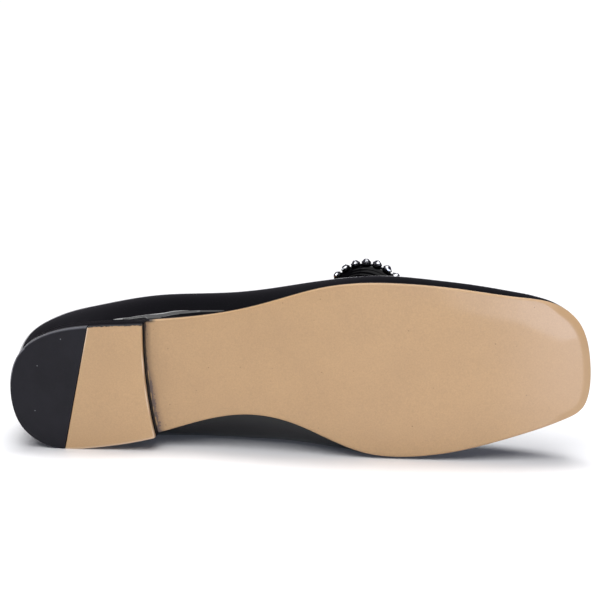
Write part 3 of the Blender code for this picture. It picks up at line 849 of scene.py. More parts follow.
def edge_ink(colours, name):
    """Black ink brushed along cut leather: satin, with streaks that run round the heel."""
    material, tree, shader = new_material(name, {"IOR": 1.5, "Specular IOR Level": 0.06})
    place = add_node(tree, "ShaderNodeTexCoord").outputs["Object"]
    # Streaks are 10 mm long and 0.5 mm wide; the heel's layers lie across the solids' Y
    stretched = add_node(tree, "ShaderNodeMapping", {0: place, "Scale": (0.1, 2.0, 0.1)}).outputs[0]
    streaks = add_node(
        tree,
        "ShaderNodeTexNoise",
        {"Vector": stretched, "Scale": 1 / MM, "Detail": 3.0, "Roughness": 0.65},
    ).outputs[0]
    ink = toned(tree, colours.ink, streaks, 0.3, 0.75, 0.7, 1.8)
    tree.links.new(ink, shader.inputs["Base Color"])
    rough = add_node(tree, "ShaderNodeMapRange", {0: streaks, 1: 0.3, 2: 0.7, 3: 0.24, 4: 0.42}).outputs[0]
    tree.links.new(rough, shader.inputs["Roughness"])
    relief = add_node(
        tree, "ShaderNodeBump", {"Height": streaks, "Strength": 0.25, "Distance": 0.15 * MM}
    ).outputs[0]
    tree.links.new(relief, shader.inputs["Normal"])
    return material


def patent_coat(colours, name, coat):
    """Patent leather: black under a poured lacquer that mirrors the room, with a faint ripple."""
    lacquer = {"Coat Weight": coat, "Coat Roughness": 0.025, "Coat IOR": 1.5}
    material, tree, shader = new_material(name, {"Roughness": 0.3, "Specular IOR Level": 0.0, **lacquer})
    place = add_node(tree, "ShaderNodeTexCoord").outputs["Object"]
    ripple = add_node(
        tree,
        "ShaderNodeTexNoise",
        {"Vector": place, "Scale": 1 / (14 * MM), "Detail": 2.0, "Roughness": 0.45},
    ).outputs[0]
    haze = add_node(
        tree, "ShaderNodeTexNoise", {"Vector": place, "Scale": 1 / (40 * MM), "Detail": 2.0}
    ).outputs[0]
    black = toned(tree, colours.patent, haze, 0.3, 0.7, 0.8, 1.25)
    tree.links.new(black, shader.inputs["Base Color"])
    relief = add_node(
        tree, "ShaderNodeBump", {"Height": ripple, "Strength": 0.35, "Distance": 0.12 * MM}
    ).outputs[0]
    tree.links.new(relief, shader.inputs["Normal"])
    tree.links.new(relief, shader.inputs["Coat Normal"])
    return material


def lining_leather(colours, name):
    """Sheepskin lining: matt tan with a soft pebbled grain."""
    material, tree, shader = new_material(name, {"IOR": 1.45})
    place = add_node(tree, "ShaderNodeTexCoord").outputs["Object"]
    clouds = add_node(
        tree, "ShaderNodeTexNoise", {"Vector": place, "Scale": 1 / (15 * MM), "Detail": 3.0}
    ).outputs[0]
    pebbles = add_node(
        tree, "ShaderNodeTexVoronoi", {"Vector": place, "Scale": 1 / (1.1 * MM)}
    ).outputs["Distance"]
    tan = toned(tree, colours.lining_tan, clouds, 0.3, 0.7, 0.86, 1.1)
    tree.links.new(tan, shader.inputs["Base Color"])
    rough = add_node(tree, "ShaderNodeMapRange", {0: clouds, 1: 0.3, 2: 0.7, 3: 0.55, 4: 0.7}).outputs[0]
    tree.links.new(rough, shader.inputs["Roughness"])
    relief = add_node(
        tree, "ShaderNodeBump", {"Height": pebbles, "Strength": 0.25, "Distance": 0.12 * MM}
    ).outputs[0]
    tree.links.new(relief, shader.inputs["Normal"])
    return material


def waxed_thread(colours):
    """Bonded nylon thread: black, with the twist of its plies."""
    material, tree, shader = new_material("Bonded_thread", {"IOR": 1.53, "Roughness": 0.38})
    place = add_node(tree, "ShaderNodeTexCoord").outputs["Object"]
    twist = add_node(
        tree, "ShaderNodeTexNoise", {"Vector": place, "Scale": 1 / (0.4 * MM), "Detail": 1.0}
    ).outputs[0]
    black = toned(tree, colours.thread, twist, 0.3, 0.7, 0.7, 1.9)
    tree.links.new(black, shader.inputs["Base Color"])
    return material


def foiled_stone(colours):
    """Cut glass on silver foil: each flat face mirrors another part of the room."""
    material, tree, shader = new_material(
        "Foiled_cut_glass", {"Metallic": 1.0, "Coat Weight": 1.0, "Coat Roughness": 0.0}
    )
    place = add_node(tree, "ShaderNodeTexCoord").outputs["Object"]
    fire = add_node(
        tree, "ShaderNodeTexNoise", {"Vector": place, "Scale": 1 / (1.1 * MM), "Detail": 1.0}
    ).outputs[0]
    clear = toned(tree, colours.stone, fire, 0.38, 0.62, 0.25, 1.05)
    tree.links.new(clear, shader.inputs["Base Color"])
    rough = add_node(tree, "ShaderNodeMapRange", {0: fire, 1: 0.3, 2: 0.7, 3: 0.03, 4: 0.1}).outputs[0]
    tree.links.new(rough, shader.inputs["Roughness"])
    return material


def plated_cup(colours):
    """Stamped brass with a rhodium plate: grey metal, a little dull in its hollows."""
    material, tree, shader = new_material("Rhodium_plate", {"Metallic": 1.0})
    place = add_node(tree, "ShaderNodeTexCoord").outputs["Object"]
    dull = add_node(
        tree, "ShaderNodeTexNoise", {"Vector": place, "Scale": 1 / (2 * MM), "Detail": 2.0}
    ).outputs[0]
    grey = toned(tree, colours.cup, dull, 0.3, 0.7, 0.6, 1.1)
    tree.links.new(grey, shader.inputs["Base Color"])
    rough = add_node(tree, "ShaderNodeMapRange", {0: dull, 1: 0.3, 2: 0.7, 3: 0.2, 4: 0.4}).outputs[0]
    tree.links.new(rough, shader.inputs["Roughness"])
    return material


# Node trees for what repeats


def new_tree(name, inputs):
    """A geometry tree with its named inputs, its input node and its output node."""
    tree = bpy.data.node_groups.new(name, "GeometryNodeTree")
    tree.interface.new_socket("Geometry", in_out="INPUT", socket_type="NodeSocketGeometry")
    for label, kind in inputs.items():
        tree.interface.new_socket(label, in_out="INPUT", socket_type=kind)
    tree.interface.new_socket("Geometry", in_out="OUTPUT", socket_type="NodeSocketGeometry")
    return tree, add_node(tree, "NodeGroupInput"), add_node(tree, "NodeGroupOutput")


def close_tree(tree, given, result, geometry):
    """Ends a tree: its instances become real and take the given material."""
    real = add_node(tree, "GeometryNodeRealizeInstances", {"Geometry": geometry}).outputs[0]
    shown = add_node(
        tree, "GeometryNodeSetMaterial", {"Geometry": real, "Material": given.outputs["Material"]}
    ).outputs[0]
    tree.links.new(shown, result.inputs[0])


def turn_along(tree):
    """A turn that points X along the path and Z out of the surface, from the path's own attributes."""
    ahead = add_node(
        tree, "GeometryNodeInputNamedAttribute", {"Name": "ahead"}, data_type="FLOAT_VECTOR"
    ).outputs[0]
    out = add_node(
        tree, "GeometryNodeInputNamedAttribute", {"Name": "out"}, data_type="FLOAT_VECTOR"
    ).outputs[0]
    lifted = add_node(tree, "FunctionNodeAlignRotationToVector", {"Vector": out}, axis="Z").outputs[0]
    return add_node(
        tree,
        "FunctionNodeAlignRotationToVector",
        {"Rotation": lifted, "Vector": ahead},
        axis="X",
        pivot_axis="Z",
    ).outputs[0]


def stitch_tree():
    """A row of stitches: one short rounded thread on each point of the path."""
    tree, given, result = new_tree(
        "Stitch_row",
        {"Length": "NodeSocketFloat", "Width": "NodeSocketFloat", "Material": "NodeSocketMaterial"},
    )
    bead = add_node(tree, "GeometryNodeMeshUVSphere", {"Segments": 8, "Rings": 6, "Radius": 0.5}).outputs[0]
    width = given.outputs["Width"]
    size = add_node(
        tree, "ShaderNodeCombineXYZ", {0: given.outputs["Length"], 1: width, 2: width}
    ).outputs[0]
    row = add_node(
        tree,
        "GeometryNodeInstanceOnPoints",
        {"Points": given.outputs[0], "Instance": bead, "Rotation": turn_along(tree), "Scale": size},
    ).outputs[0]
    smooth = add_node(tree, "GeometryNodeSetShadeSmooth", {0: row}).outputs[0]
    close_tree(tree, given, result, smooth)
    return tree


def stone_tree():
    """A row of cut stones: on each point two tiers of flat facets below a level table."""
    tree, given, result = new_tree(
        "Stone_row",
        {"Radius": "NodeSocketFloat", "Height": "NodeSocketFloat", "Material": "NodeSocketMaterial"},
    )
    girdle = given.outputs["Radius"]
    depth = given.outputs["Height"]
    waist = add_node(tree, "ShaderNodeMath", {0: girdle, 1: 0.84}, operation="MULTIPLY").outputs[0]
    table = add_node(tree, "ShaderNodeMath", {0: girdle, 1: 0.45}, operation="MULTIPLY").outputs[0]
    tier = add_node(tree, "ShaderNodeMath", {0: depth, 1: 0.5}, operation="MULTIPLY").outputs[0]
    crown = add_node(tree, "GeometryNodeJoinGeometry")
    for low, high, level in ((girdle, waist, 0.0), (waist, table, tier)):
        facets = add_node(
            tree,
            "GeometryNodeMeshCone",
            {"Vertices": 8, "Radius Top": high, "Radius Bottom": low, "Depth": tier},
            fill_type="NGON",
        ).outputs[0]
        lift = add_node(tree, "ShaderNodeCombineXYZ", {2: level}).outputs[0]
        raised = add_node(
            tree, "GeometryNodeTransform", {"Geometry": facets, "Translation": lift}
        ).outputs[0]
        tree.links.new(raised, crown.inputs[0])
    row = add_node(
        tree,
        "GeometryNodeInstanceOnPoints",
        {"Points": given.outputs[0], "Instance": crown.outputs[0], "Rotation": turn_along(tree)},
    ).outputs[0]
    close_tree(tree, given, result, row)
    return tree


def cup_tree():
    """A row of cups: on each point a short round wall with four prongs, and a wire through them all."""
    tree, given, result = new_tree(
        "Cup_row",
        {"Radius": "NodeSocketFloat", "Height": "NodeSocketFloat", "Material": "NodeSocketMaterial"},
    )
    depth = given.outputs["Height"]
    middle = add_node(tree, "ShaderNodeMath", {0: depth, 1: 0.5}, operation="MULTIPLY").outputs[0]
    wall = add_node(
        tree,
        "GeometryNodeMeshCylinder",
        {"Vertices": 12, "Radius": given.outputs["Radius"], "Depth": depth},
        fill_type="NGON",
    ).outputs[0]
    lift = add_node(tree, "ShaderNodeCombineXYZ", {2: middle}).outputs[0]
    raised = add_node(tree, "GeometryNodeTransform", {"Geometry": wall, "Translation": lift}).outputs[0]
    ring_radius = add_node(
        tree, "ShaderNodeMath", {0: given.outputs["Radius"], 1: 0.9}, operation="MULTIPLY"
    ).outputs[0]
    ring = add_node(tree, "GeometryNodeMeshCircle", {"Vertices": 4, "Radius": ring_radius}).outputs[0]
    claw = add_node(
        tree, "GeometryNodeMeshUVSphere", {"Segments": 6, "Rings": 4, "Radius": 0.36 * MM}
    ).outputs[0]
    claws = add_node(tree, "GeometryNodeInstanceOnPoints", {"Points": ring, "Instance": claw}).outputs[0]
    claw_lift = add_node(tree, "ShaderNodeCombineXYZ", {2: depth}).outputs[0]
    prongs = add_node(
        tree, "GeometryNodeTransform", {"Geometry": claws, "Translation": claw_lift}
    ).outputs[0]
    cup = add_node(tree, "GeometryNodeJoinGeometry")
    for shape in (raised, prongs):
        tree.links.new(shape, cup.inputs[0])
    row = add_node(
        tree,
        "GeometryNodeInstanceOnPoints",
        {"Points": given.outputs[0], "Instance": cup.outputs[0], "Rotation": turn_along(tree)},
    ).outputs[0]
    path = add_node(tree, "GeometryNodeMeshToCurve", {0: given.outputs[0]}).outputs[0]
    profile = add_node(
        tree, "GeometryNodeCurvePrimitiveCircle", {"Resolution": 8, "Radius": 0.45 * MM}
    ).outputs[0]
    wire = add_node(
        tree, "GeometryNodeCurveToMesh", {"Curve": path, "Profile Curve": profile, "Fill Caps": True}
    ).outputs[0]
    whole = add_node(tree, "GeometryNodeJoinGeometry")
    for shape in (row, wire):
        tree.links.new(shape, whole.inputs[0])
    close_tree(tree, given, result, whole.outputs[0])
    return tree


def path_object(name, points, ways):
    """Points joined in a row, which keep the way ahead and the way out of the surface."""
    mesh = bpy.data.meshes.new(name)
    mesh.from_pydata(points.tolist(), [(i, i + 1) for i in range(len(points) - 1)], [])
    ahead = unit(np.gradient(points, axis=0))
    for label, values in (("ahead", ahead), ("out", ways)):
        layer = mesh.attributes.new(label, "FLOAT_VECTOR", "POINT")
        layer.data.foreach_set("vector", np.asarray(values, np.float32).ravel())
    return new_object(name, mesh)


def grow(piece, tree, values):
    """Runs a node tree on a path with the given inputs, and keeps the result as a plain mesh."""
    modifier = piece.modifiers.new(tree.name, "NODES")
    modifier.node_group = tree
    for item in tree.interface.items_tree:
        if item.in_out == "INPUT" and item.name in values:
            modifier[item.identifier] = values[item.name]
    return applied(piece)


# Operators


class BALLETFLAT_OT_outsole(bpy.types.Operator):
    """Makes the outsole: tan leather with a rounded edge and a bevelled strip round the toe."""

    bl_idname = "ballet_flat.outsole"
    bl_label = "Outsole"

    def execute(self, context):
        settings = context.scene.ballet_flat
        form = ShoeForm(settings)
        sole = settings.sole
        steps, rows = 300, 48
        fill = 6 * MM
        knee = 2.3 * MM
        # The outer slope runs on straight past the toe's corner, leaning 18 degrees in
        toe_side = form.outline(np.array([0.84]))[0]
        lean = math.radians(18)
        toe_way = np.array([math.sin(lean), -math.cos(lean)])

        def toe_share(u):
            return smooth_step((form.outline(u)[:, 0] - TOE_STRIP_START) / (12 * MM))

        def rounding(u):
            return sole.side_round + (sole.toe_round - sole.side_round) * toe_share(u)

        def edge_lift(u):
            return (0.45 + 0.6 * toe_share(u)) * MM

        def underside(flat, inset, u):
            """Height of the underside: level inside, then a slope up to the edge and on past the toe."""
            forward = smooth_step((flat[:, 0] - 150 * MM) / (60 * MM))
            outer = 0.3 + 0.7 * smooth_step((0.9 - u) / 0.06)
            reach = (6.5 + 3.0 * forward) * MM
            straight = (toe_side - flat) @ toe_way
            rolls = []
            corner = 4.0 * MM * smooth_step((flat[:, 0] - 212 * MM) / (28 * MM))
            for past, share in ((reach - inset, outer), (reach + corner - straight, 1.0)):
                eased = np.where(past > knee, past, np.clip(past + knee, 0.0, None) ** 2 / (4 * knee))
                rolls.append(np.tan(np.radians(2.5 + 7.5 * forward * share)) * eased)
            return form.tread_height(flat[:, 0]) + np.maximum(*rolls)

        around = np.linspace(0.0, 2.0, 3000)
        outline = form.outline(around)

        def below(flat):
            inset, nearest = nearest_on(flat, outline)
            return underside(flat, inset, around[nearest])

        def above(flat):
            return form.tread_height(flat[:, 0]) + sole.thickness

        def fill_inset(u):
            return np.full(len(u), fill)

        def profile(u):
            band = rounding(u)
            drop = edge_lift(u)
            insets = [band + (fill - band) * share for share in (1.0, 0.8, 0.6, 0.4, 0.2, 0.08)]
            insets += [band * share for share in (1.0, 0.9, 0.78, 0.62, 0.46, 0.3, 0.17, 0.07, 0.0)]
            rings = []
            for inset in insets:
                lifted = drop * np.clip(1 - inset / band, 0.0, None) ** 1.4
                rings.append((inset, underside(form.inset_outline(u, inset), inset, u) + lifted))
            top = above(form.outline(u))
            low = rings[-1][1]
            rings += [(0.0 * u, low + (top - low) * share) for share in (0.25, 0.65, 0.92)]
            rings += [(0.12 * MM + 0.0 * u, top), (fill + 0.0 * u, top)]
            return rings

        mesh = plate_mesh(form, "Outsole_leather", profile, fill_inset, below, above, steps, rows)
        points = mesh_points(mesh)
        edge, nearest = nearest_on(points, outline)
        low = underside(points[:, :2], edge, around[nearest]) + edge_lift(around[nearest])
        toe = smooth_step((points[:, 0] - TOE_INK_END) / (6 * MM))
        wall = np.where(edge < 0.3 * MM, smooth_step((points[:, 2] - low) / (0.3 * MM)), 0.0)
        seat = smooth_step((SEAT_END - points[:, 0]) / (3 * MM)) * smooth_step(1.5 - edge / MM)
        store(mesh, "edge", edge / MM)
        store(mesh, "toe", toe)
        # Painted sheen: how much paler the toe is painted, standing in for the light it catches
        store(mesh, "spring", smooth_step((points[:, 0] - 200 * MM) / (45 * MM)))
        # Ink covers the sole's side edge, but not round the toe, and the rim under the heel
        ink = np.maximum(wall * (1 - toe), seat)
        store(mesh, "ink", ink)
        # The cement and the painted shadow along the heel's front keep back on the outer side
        breast = breast_line(form)
        ahead = np.interp(points[:, 1], breast[:, 1], breast[:, 0])
        held = 1.3 * smooth_step((6 * MM - points[:, 1]) / (14 * MM))
        store(mesh, "breast", np.where(points[:, 0] > ahead, (points[:, 0] - ahead) / MM + held, 99.0))
        mesh.shade_smooth()
        mesh.materials.append(sole_leather(settings.colours))
        mesh.materials.append(edge_ink(settings.colours, "Brushed_sole_ink"))
        for face in mesh.polygons:
            face.material_index = int(ink[list(face.vertices)].min() > 0.9)
        finish_piece(new_object("Outsole_leather", mesh), "Sole_leather", "outsole")
        return {"FINISHED"}


def breast_line(form):
    """The heel's front seen from below, from the outer to the inner side."""
    sole = form.sole
    lateral = form.outline(np.array([side_share(form, -1, sole.breast_lateral)]))[0]
    medial = form.outline(np.array([side_share(form, 1, sole.breast_medial)]))[0]
    share = np.linspace(0.0, 1.0, 60)[:, None]
    points = lateral + (medial - lateral) * share
    points[:, 0] -= sole.breast_hollow * 4 * (share * (1 - share))[:, 0]
    return points


def side_share(form, side, along):
    """The outline's parameter where it reaches a distance from the heel, on the heel's part of one side."""
    shares = np.linspace(0.0, 0.4, SAMPLES)
    reached = form.outline(shares if side < 0 else 2 - shares)[:, 0]
    share = np.interp(along, reached, shares)
    return share if side < 0 else 2 - share


class BALLETFLAT_OT_insole(bpy.types.Operator):
    """Makes the insole: lining leather with a rounded edge and a shallow heel cup."""

    bl_idname = "ballet_flat.insole"
    bl_label = "Insole"

    def execute(self, context):
        settings = context.scene.ballet_flat
        form = ShoeForm(settings)
        sole = settings.sole

        def below(flat):
            return form.tread_height(flat[:, 0]) + sole.thickness + settings.upper.gap

        def above(flat):
            cup = bell(flat[:, 0] - 36 * MM, 22 * MM) * bell(flat[:, 1] - 1 * MM, 14 * MM)
            return below(flat) + sole.insole_thickness - 0.5 * MM * cup

        def fill_inset(u):
            return np.full(len(u), sole.insole_inset + 3 * MM)

        def profile(u):
            rings = []
            for inset, face, share in (
                (3.0, below, 0.0),
                (0.1, below, 0.0),
                (0.0, below, 0.1),
                (0.0, above, -0.7),
                (0.08, above, -0.35),
                (0.3, above, -0.1),
                (0.7, above, 0.0),
                (3.0, above, 0.0),
            ):
                depth = sole.insole_inset + inset * MM + 0.0 * u
                rings.append((depth, face(form.inset_outline(u, depth)) + share * MM))
            return rings

        mesh = plate_mesh(form, "Insole_sock", profile, fill_inset, below, above, 220, 32)
        mesh.shade_smooth()
        mesh.materials.append(lining_leather(settings.colours, "Sheepskin_sock"))
        finish_piece(new_object("Insole_sock", mesh), "Lining_leather", "insole")
        return {"FINISHED"}


def heel_mesh(form, name, lateral, medial, hollow, low, high):
    """A level heel piece between two runs of the outline, (from, to) on each side, ruled across."""
    steps, rows = 90, 56
    share = np.linspace(0.0, 1.0, steps + 1)
    left = form.outline(lateral[0] + (lateral[1] - lateral[0]) * share)
    right = form.outline(medial[0] + (medial[1] - medial[0]) * share)
    across = np.linspace(0.0, 1.0, rows + 1)[:, None, None]
    flat = left[None] + (right - left)[None] * across
    flat[:, :, 0] -= hollow * (4 * across * (1 - across))[:, :, 0] * share[None] ** 3
    points = np.concatenate([flat, np.full(flat.shape[:2] + (1,), low)], axis=-1)
    mesh = grid_mesh(name, points)
    clean_mesh(mesh)
    work = bmesh.new()
    work.from_mesh(mesh)
    top = bmesh.ops.extrude_face_region(work, geom=work.faces[:], use_keep_orig=True)
    for item in top["geom"]:
        if isinstance(item, bmesh.types.BMVert):
            item.co.z = high
    bmesh.ops.recalc_face_normals(work, faces=work.faces)
    work.to_mesh(mesh)
    work.free()
    return mesh


def bevelled(piece, width):
    """Rounds a piece's cut edges."""
    bevel = piece.modifiers.new("Edges", "BEVEL")
    bevel.width = width
    bevel.segments = 3
    bevel.limit_method = "ANGLE"
    bevel.angle_limit = math.radians(50)
    applied(piece)
    piece.data.shade_smooth()
    piece.data.set_sharp_from_angle(angle=math.radians(50))
    return piece


class BALLETFLAT_OT_heel(bpy.types.Operator):
    """Makes the heel: an inked block, a leather lift and a rubber tip."""

    bl_idname = "ballet_flat.heel"
    bl_label = "Heel"

    def execute(self, context):
        settings = context.scene.ballet_flat
        form = ShoeForm(settings)
        sole = settings.sole
        gap = settings.upper.gap

        def cut_ends(lateral, medial, ahead):
            """Where a cut across the heel meets the outline on each side, moved ahead by a distance."""
            return side_share(form, -1, lateral + ahead), side_share(form, 1, medial + ahead)

        ends = cut_ends(sole.breast_lateral, sole.breast_medial, sole.breast_step)
        block = heel_mesh(
            form,
            "Heel_stack",
            (0.0, ends[0]),
            (2.0, ends[1]),
            sole.breast_hollow,
            sole.lift_thickness + gap,
            sole.heel_height - gap,
        )
        stack = bevelled(new_object("Heel_stack", block), BLOCK_BEVEL)
        stack.data.materials.append(edge_ink(settings.colours, "Brushed_heel_ink"))
        finish_piece(stack, "Heel_edge_paint", "heel_block")

        ends = cut_ends(sole.split_lateral, sole.split_medial, 0.0)
        tip = heel_mesh(form, "Tip_ground", (0.0, ends[0]), (2.0, ends[1]), 0.0, 0.0, sole.lift_thickness)
        rubber = bevelled(new_object("Tip_ground", tip), TIP_BEVEL)
        around = np.linspace(0.0, 2.0, 6000)
        points = mesh_points(rubber.data)
        edge, nearest = nearest_on(points, form.outline(around))
        # Painted highlight: its outer rim is painted near white, where its bevel catches the light: fully
        # on the bevel's slope, faintly where that meets the tread
        share = around[nearest]
        outer = smooth_step((0.3 - share) / 0.05) * smooth_step((share - 0.01) / 0.02)
        height = points[:, 2]
        rim_highlight = np.where(height > 0.02 * MM, 1.0, 0.15)
        bevel = np.where((edge < 0.42 * MM) & (height < 0.25 * MM), rim_highlight, 0.0)
        store(rubber.data, "edge", edge / MM)
        store(rubber.data, "rim", outer * bevel)
        rubber.data.materials.append(tip_rubber(settings.colours))
        finish_piece(rubber, "Tip_rubber", "lift_rubber_tip")

        starts = cut_ends(sole.split_lateral, sole.split_medial, gap)
        ends = cut_ends(sole.breast_lateral, sole.breast_medial, 0.0)
        lift = heel_mesh(
            form,
            "Lift_tan",
            (starts[0], ends[0]),
            (starts[1], ends[1]),
            sole.breast_hollow,
            0.0,
            sole.lift_thickness,
        )
        leather = bevelled(new_object("Lift_tan", lift), LIFT_BEVEL)
        points = mesh_points(leather.data)
        side_wall = points[:, 2] > 0.35 * MM
        lateral = form.outline(np.linspace(0.0, 0.4, 2000))
        outer = nearest_on(points, lateral)[0] / MM
        store(leather.data, "ink", np.where(side_wall, -2.0, outer))
        # Its cut edges are painted paler, partly for the raw cut and partly as a painted highlight: the
        # inner side, most of the front, and the outer end of the slant
        inner = nearest_on(points, form.outline(np.linspace(1.6, 2.0, 4000)))[0]
        corner, across = form.outline(np.array(starts))
        slant = unit(across - corner)
        off = (points[:, :2] - corner) @ np.array([-slant[1], slant[0]])
        ahead = (points[:, :2] - corner) @ slant
        fade = smooth_step(1 - ahead / (24 * MM))
        front = nearest_on(points, breast_line(form))[0]
        bare = smooth_step((points[:, 1] + 18 * MM) / (10 * MM))
        pale = np.maximum(0.6 * bell(inner, 0.4 * MM), fade * bell(off, 0.35 * MM))
        pale = np.maximum(pale, 0.8 * bare * bell(front, 0.3 * MM))
        store(leather.data, "cut", np.where(side_wall, 0.0, pale))
        leather.data.materials.append(lift_leather(settings.colours))
        finish_piece(leather, "Sole_leather", "lift_leather")
        return {"FINISHED"}


def wall_rows(low_share, low_count, count):
    """Shares from the sole to the top edge, packed close over the lowest part and towards the top edge."""
    low = np.linspace(0.0, low_share, low_count + 1)[:-1]
    t = np.linspace(0.0, 1.0, count + 1)
    return np.concatenate([low, low_share + (1 - low_share) * np.sin(0.5 * np.pi * t)])


def wall_table(form, columns, shares):
    """The upper's outer face as a table: u, points, ways out and up, and the climb from the sole."""
    fine = np.linspace(0.0, 2.0, SAMPLES)
    # Columns stand three times closer along the outer waist, where the lip folds
    share = np.cumsum(1 + 2 * bell(fine - 0.3, 0.11))
    u = np.interp(np.arange(columns) / columns, (share - share[0]) / (share[-1] - share[0]), fine)
    count = len(shares)
    points = form.upper_points(np.tile(u, count), np.repeat(shares, columns)).reshape(count, columns, 3)
    around = np.roll(points, -1, axis=1) - np.roll(points, 1, axis=1)
    upward = unit(np.gradient(points, axis=0))
    ways = unit(np.cross(around, upward))
    steps = np.linalg.norm(np.diff(points, axis=0), axis=2)
    climb = np.vstack([np.zeros(columns), np.cumsum(steps, axis=0)])
    return u, points, ways, upward, climb


def wall_relief(form, u, points, climb):
    """How far the patent stands off its smooth shape: fold, pleats, seam, top edge and swellings."""
    upper = form.upper
    below_top = climb[-1] - climb
    foot = form.outline(u)
    along = foot[:, 0] / MM
    outer = np.where(u <= 1, 1.0, 0.0)
    lip_along, *lip_columns = np.array(LIP_ROWS).T
    lip, width, share = (
        np.where(u <= 1, np.interp(along, lip_along, column), column[-1]) for column in lip_columns
    )
    # The wall runs in under the fold, comes out over the flat facet and fades back above it
    pulled = outer * smooth_step((along - FOLD_START) / 8) * smooth_step((FOLD_END - along) / 9)
    height = climb / MM
    crest = upper.lip_crest * pulled
    depth = upper.lip_tuck * share
    under = -depth * np.clip(height / lip, 0.0, 1.0)
    facet = (crest + depth) * np.clip((height - lip) / width, 0.0, 1.0)
    fade = -crest * smooth_step((height - lip - width) / FOLD_FADE)
    fold = under + facet + fade
    waves = np.sin(83 * np.pi * u + 1.5 * np.sin(13 * np.pi * u))
    pleats = PLEAT_DEPTH * (1 - pulled) * waves * np.exp(-climb / (2.2 * MM))
    side = points[:, :, 1] - points[:, :1, 1]
    at_back = np.minimum(u, 2 - u) < 0.06
    ridges = bell(np.abs(side) - 1.45 * MM, 0.85 * MM) - 0.7 * bell(side, 0.45 * MM)
    seam = np.where(at_back, upper.seam_ridge * ridges, 0.0)
    turned = TURNED_RISE * smooth_step(1 - below_top / (2.2 * MM))
    groove = -GROOVE_DEPTH * bell(below_top - upper.stitch_inset, 0.35 * MM)
    full = sum(
        row.amount * bell(along - row.along, row.spread_along) * bell(height - row.climb, row.spread_climb)
        for row in FULL_ROWS
    )
    swelling = outer * smooth_step(u / 0.05) * full * MM
    return fold + pleats + seam + turned + groove + swelling


def shell(points, ways, upward, near, far):
    """A closed wall between two depths under a table of points, with a round upper rim."""
    outer = points - near * ways
    inner = points[::2] - far * ways[::2]
    if (len(points) - 1) % 2:
        inner = np.concatenate([inner, (points - far * ways)[-1:]])
    middle = points[-1] - (near + far) / 2 * ways[-1]
    radius = (far - near) / 2
    rim = [
        middle + radius * (math.cos(angle) * ways[-1] + math.sin(angle) * upward[-1])
        for angle in np.linspace(0.0, math.pi, 7)[1:-1]
    ]
    return np.concatenate([outer, np.array(rim), inner[::-1]])


class BALLETFLAT_OT_upper(bpy.types.Operator):
    """Makes the upper: a patent skin with its fold, seam and turned top edge, and the lining inside it."""

    bl_idname = "ballet_flat.upper"
    bl_label = "Upper"

    def execute(self, context):
        settings = context.scene.ballet_flat
        form = ShoeForm(settings)
        upper = settings.upper
        columns = 700
        fold_share = 0.085
        u, points, ways, upward, climb = wall_table(form, columns, wall_rows(fold_share, 26, 48))
        raised = points + wall_relief(form, u, points, climb)[:, :, None] * ways
        skin = grid_mesh("Upper_patent", shell(raised, ways, upward, 0.0, upper.skin), True, True)
        clean_mesh(skin)
        skin.shade_smooth()
        skin.materials.append(patent_coat(settings.colours, "Patent_leather", 1.0))
        finish_piece(new_object("Upper_patent", skin), "Black_patent", "upper")

        # The lining ends just below the top edge
        u, points, ways, upward, climb = wall_table(form, columns, 0.984 * wall_rows(fold_share, 16, 28))
        raised = points + wall_relief(form, u, points, climb)[:, :, None] * ways
        near = upper.skin + 0.03 * MM
        wall = shell(raised, ways, upward, near, near + upper.lining)
        lining = grid_mesh("Upper_lining", wall, True, True)
        clean_mesh(lining)
        lining.shade_smooth()
        lining.materials.append(lining_leather(settings.colours, "Sheepskin_lining"))
        finish_piece(new_object("Upper_lining", lining), "Lining_leather")
        return {"FINISHED"}


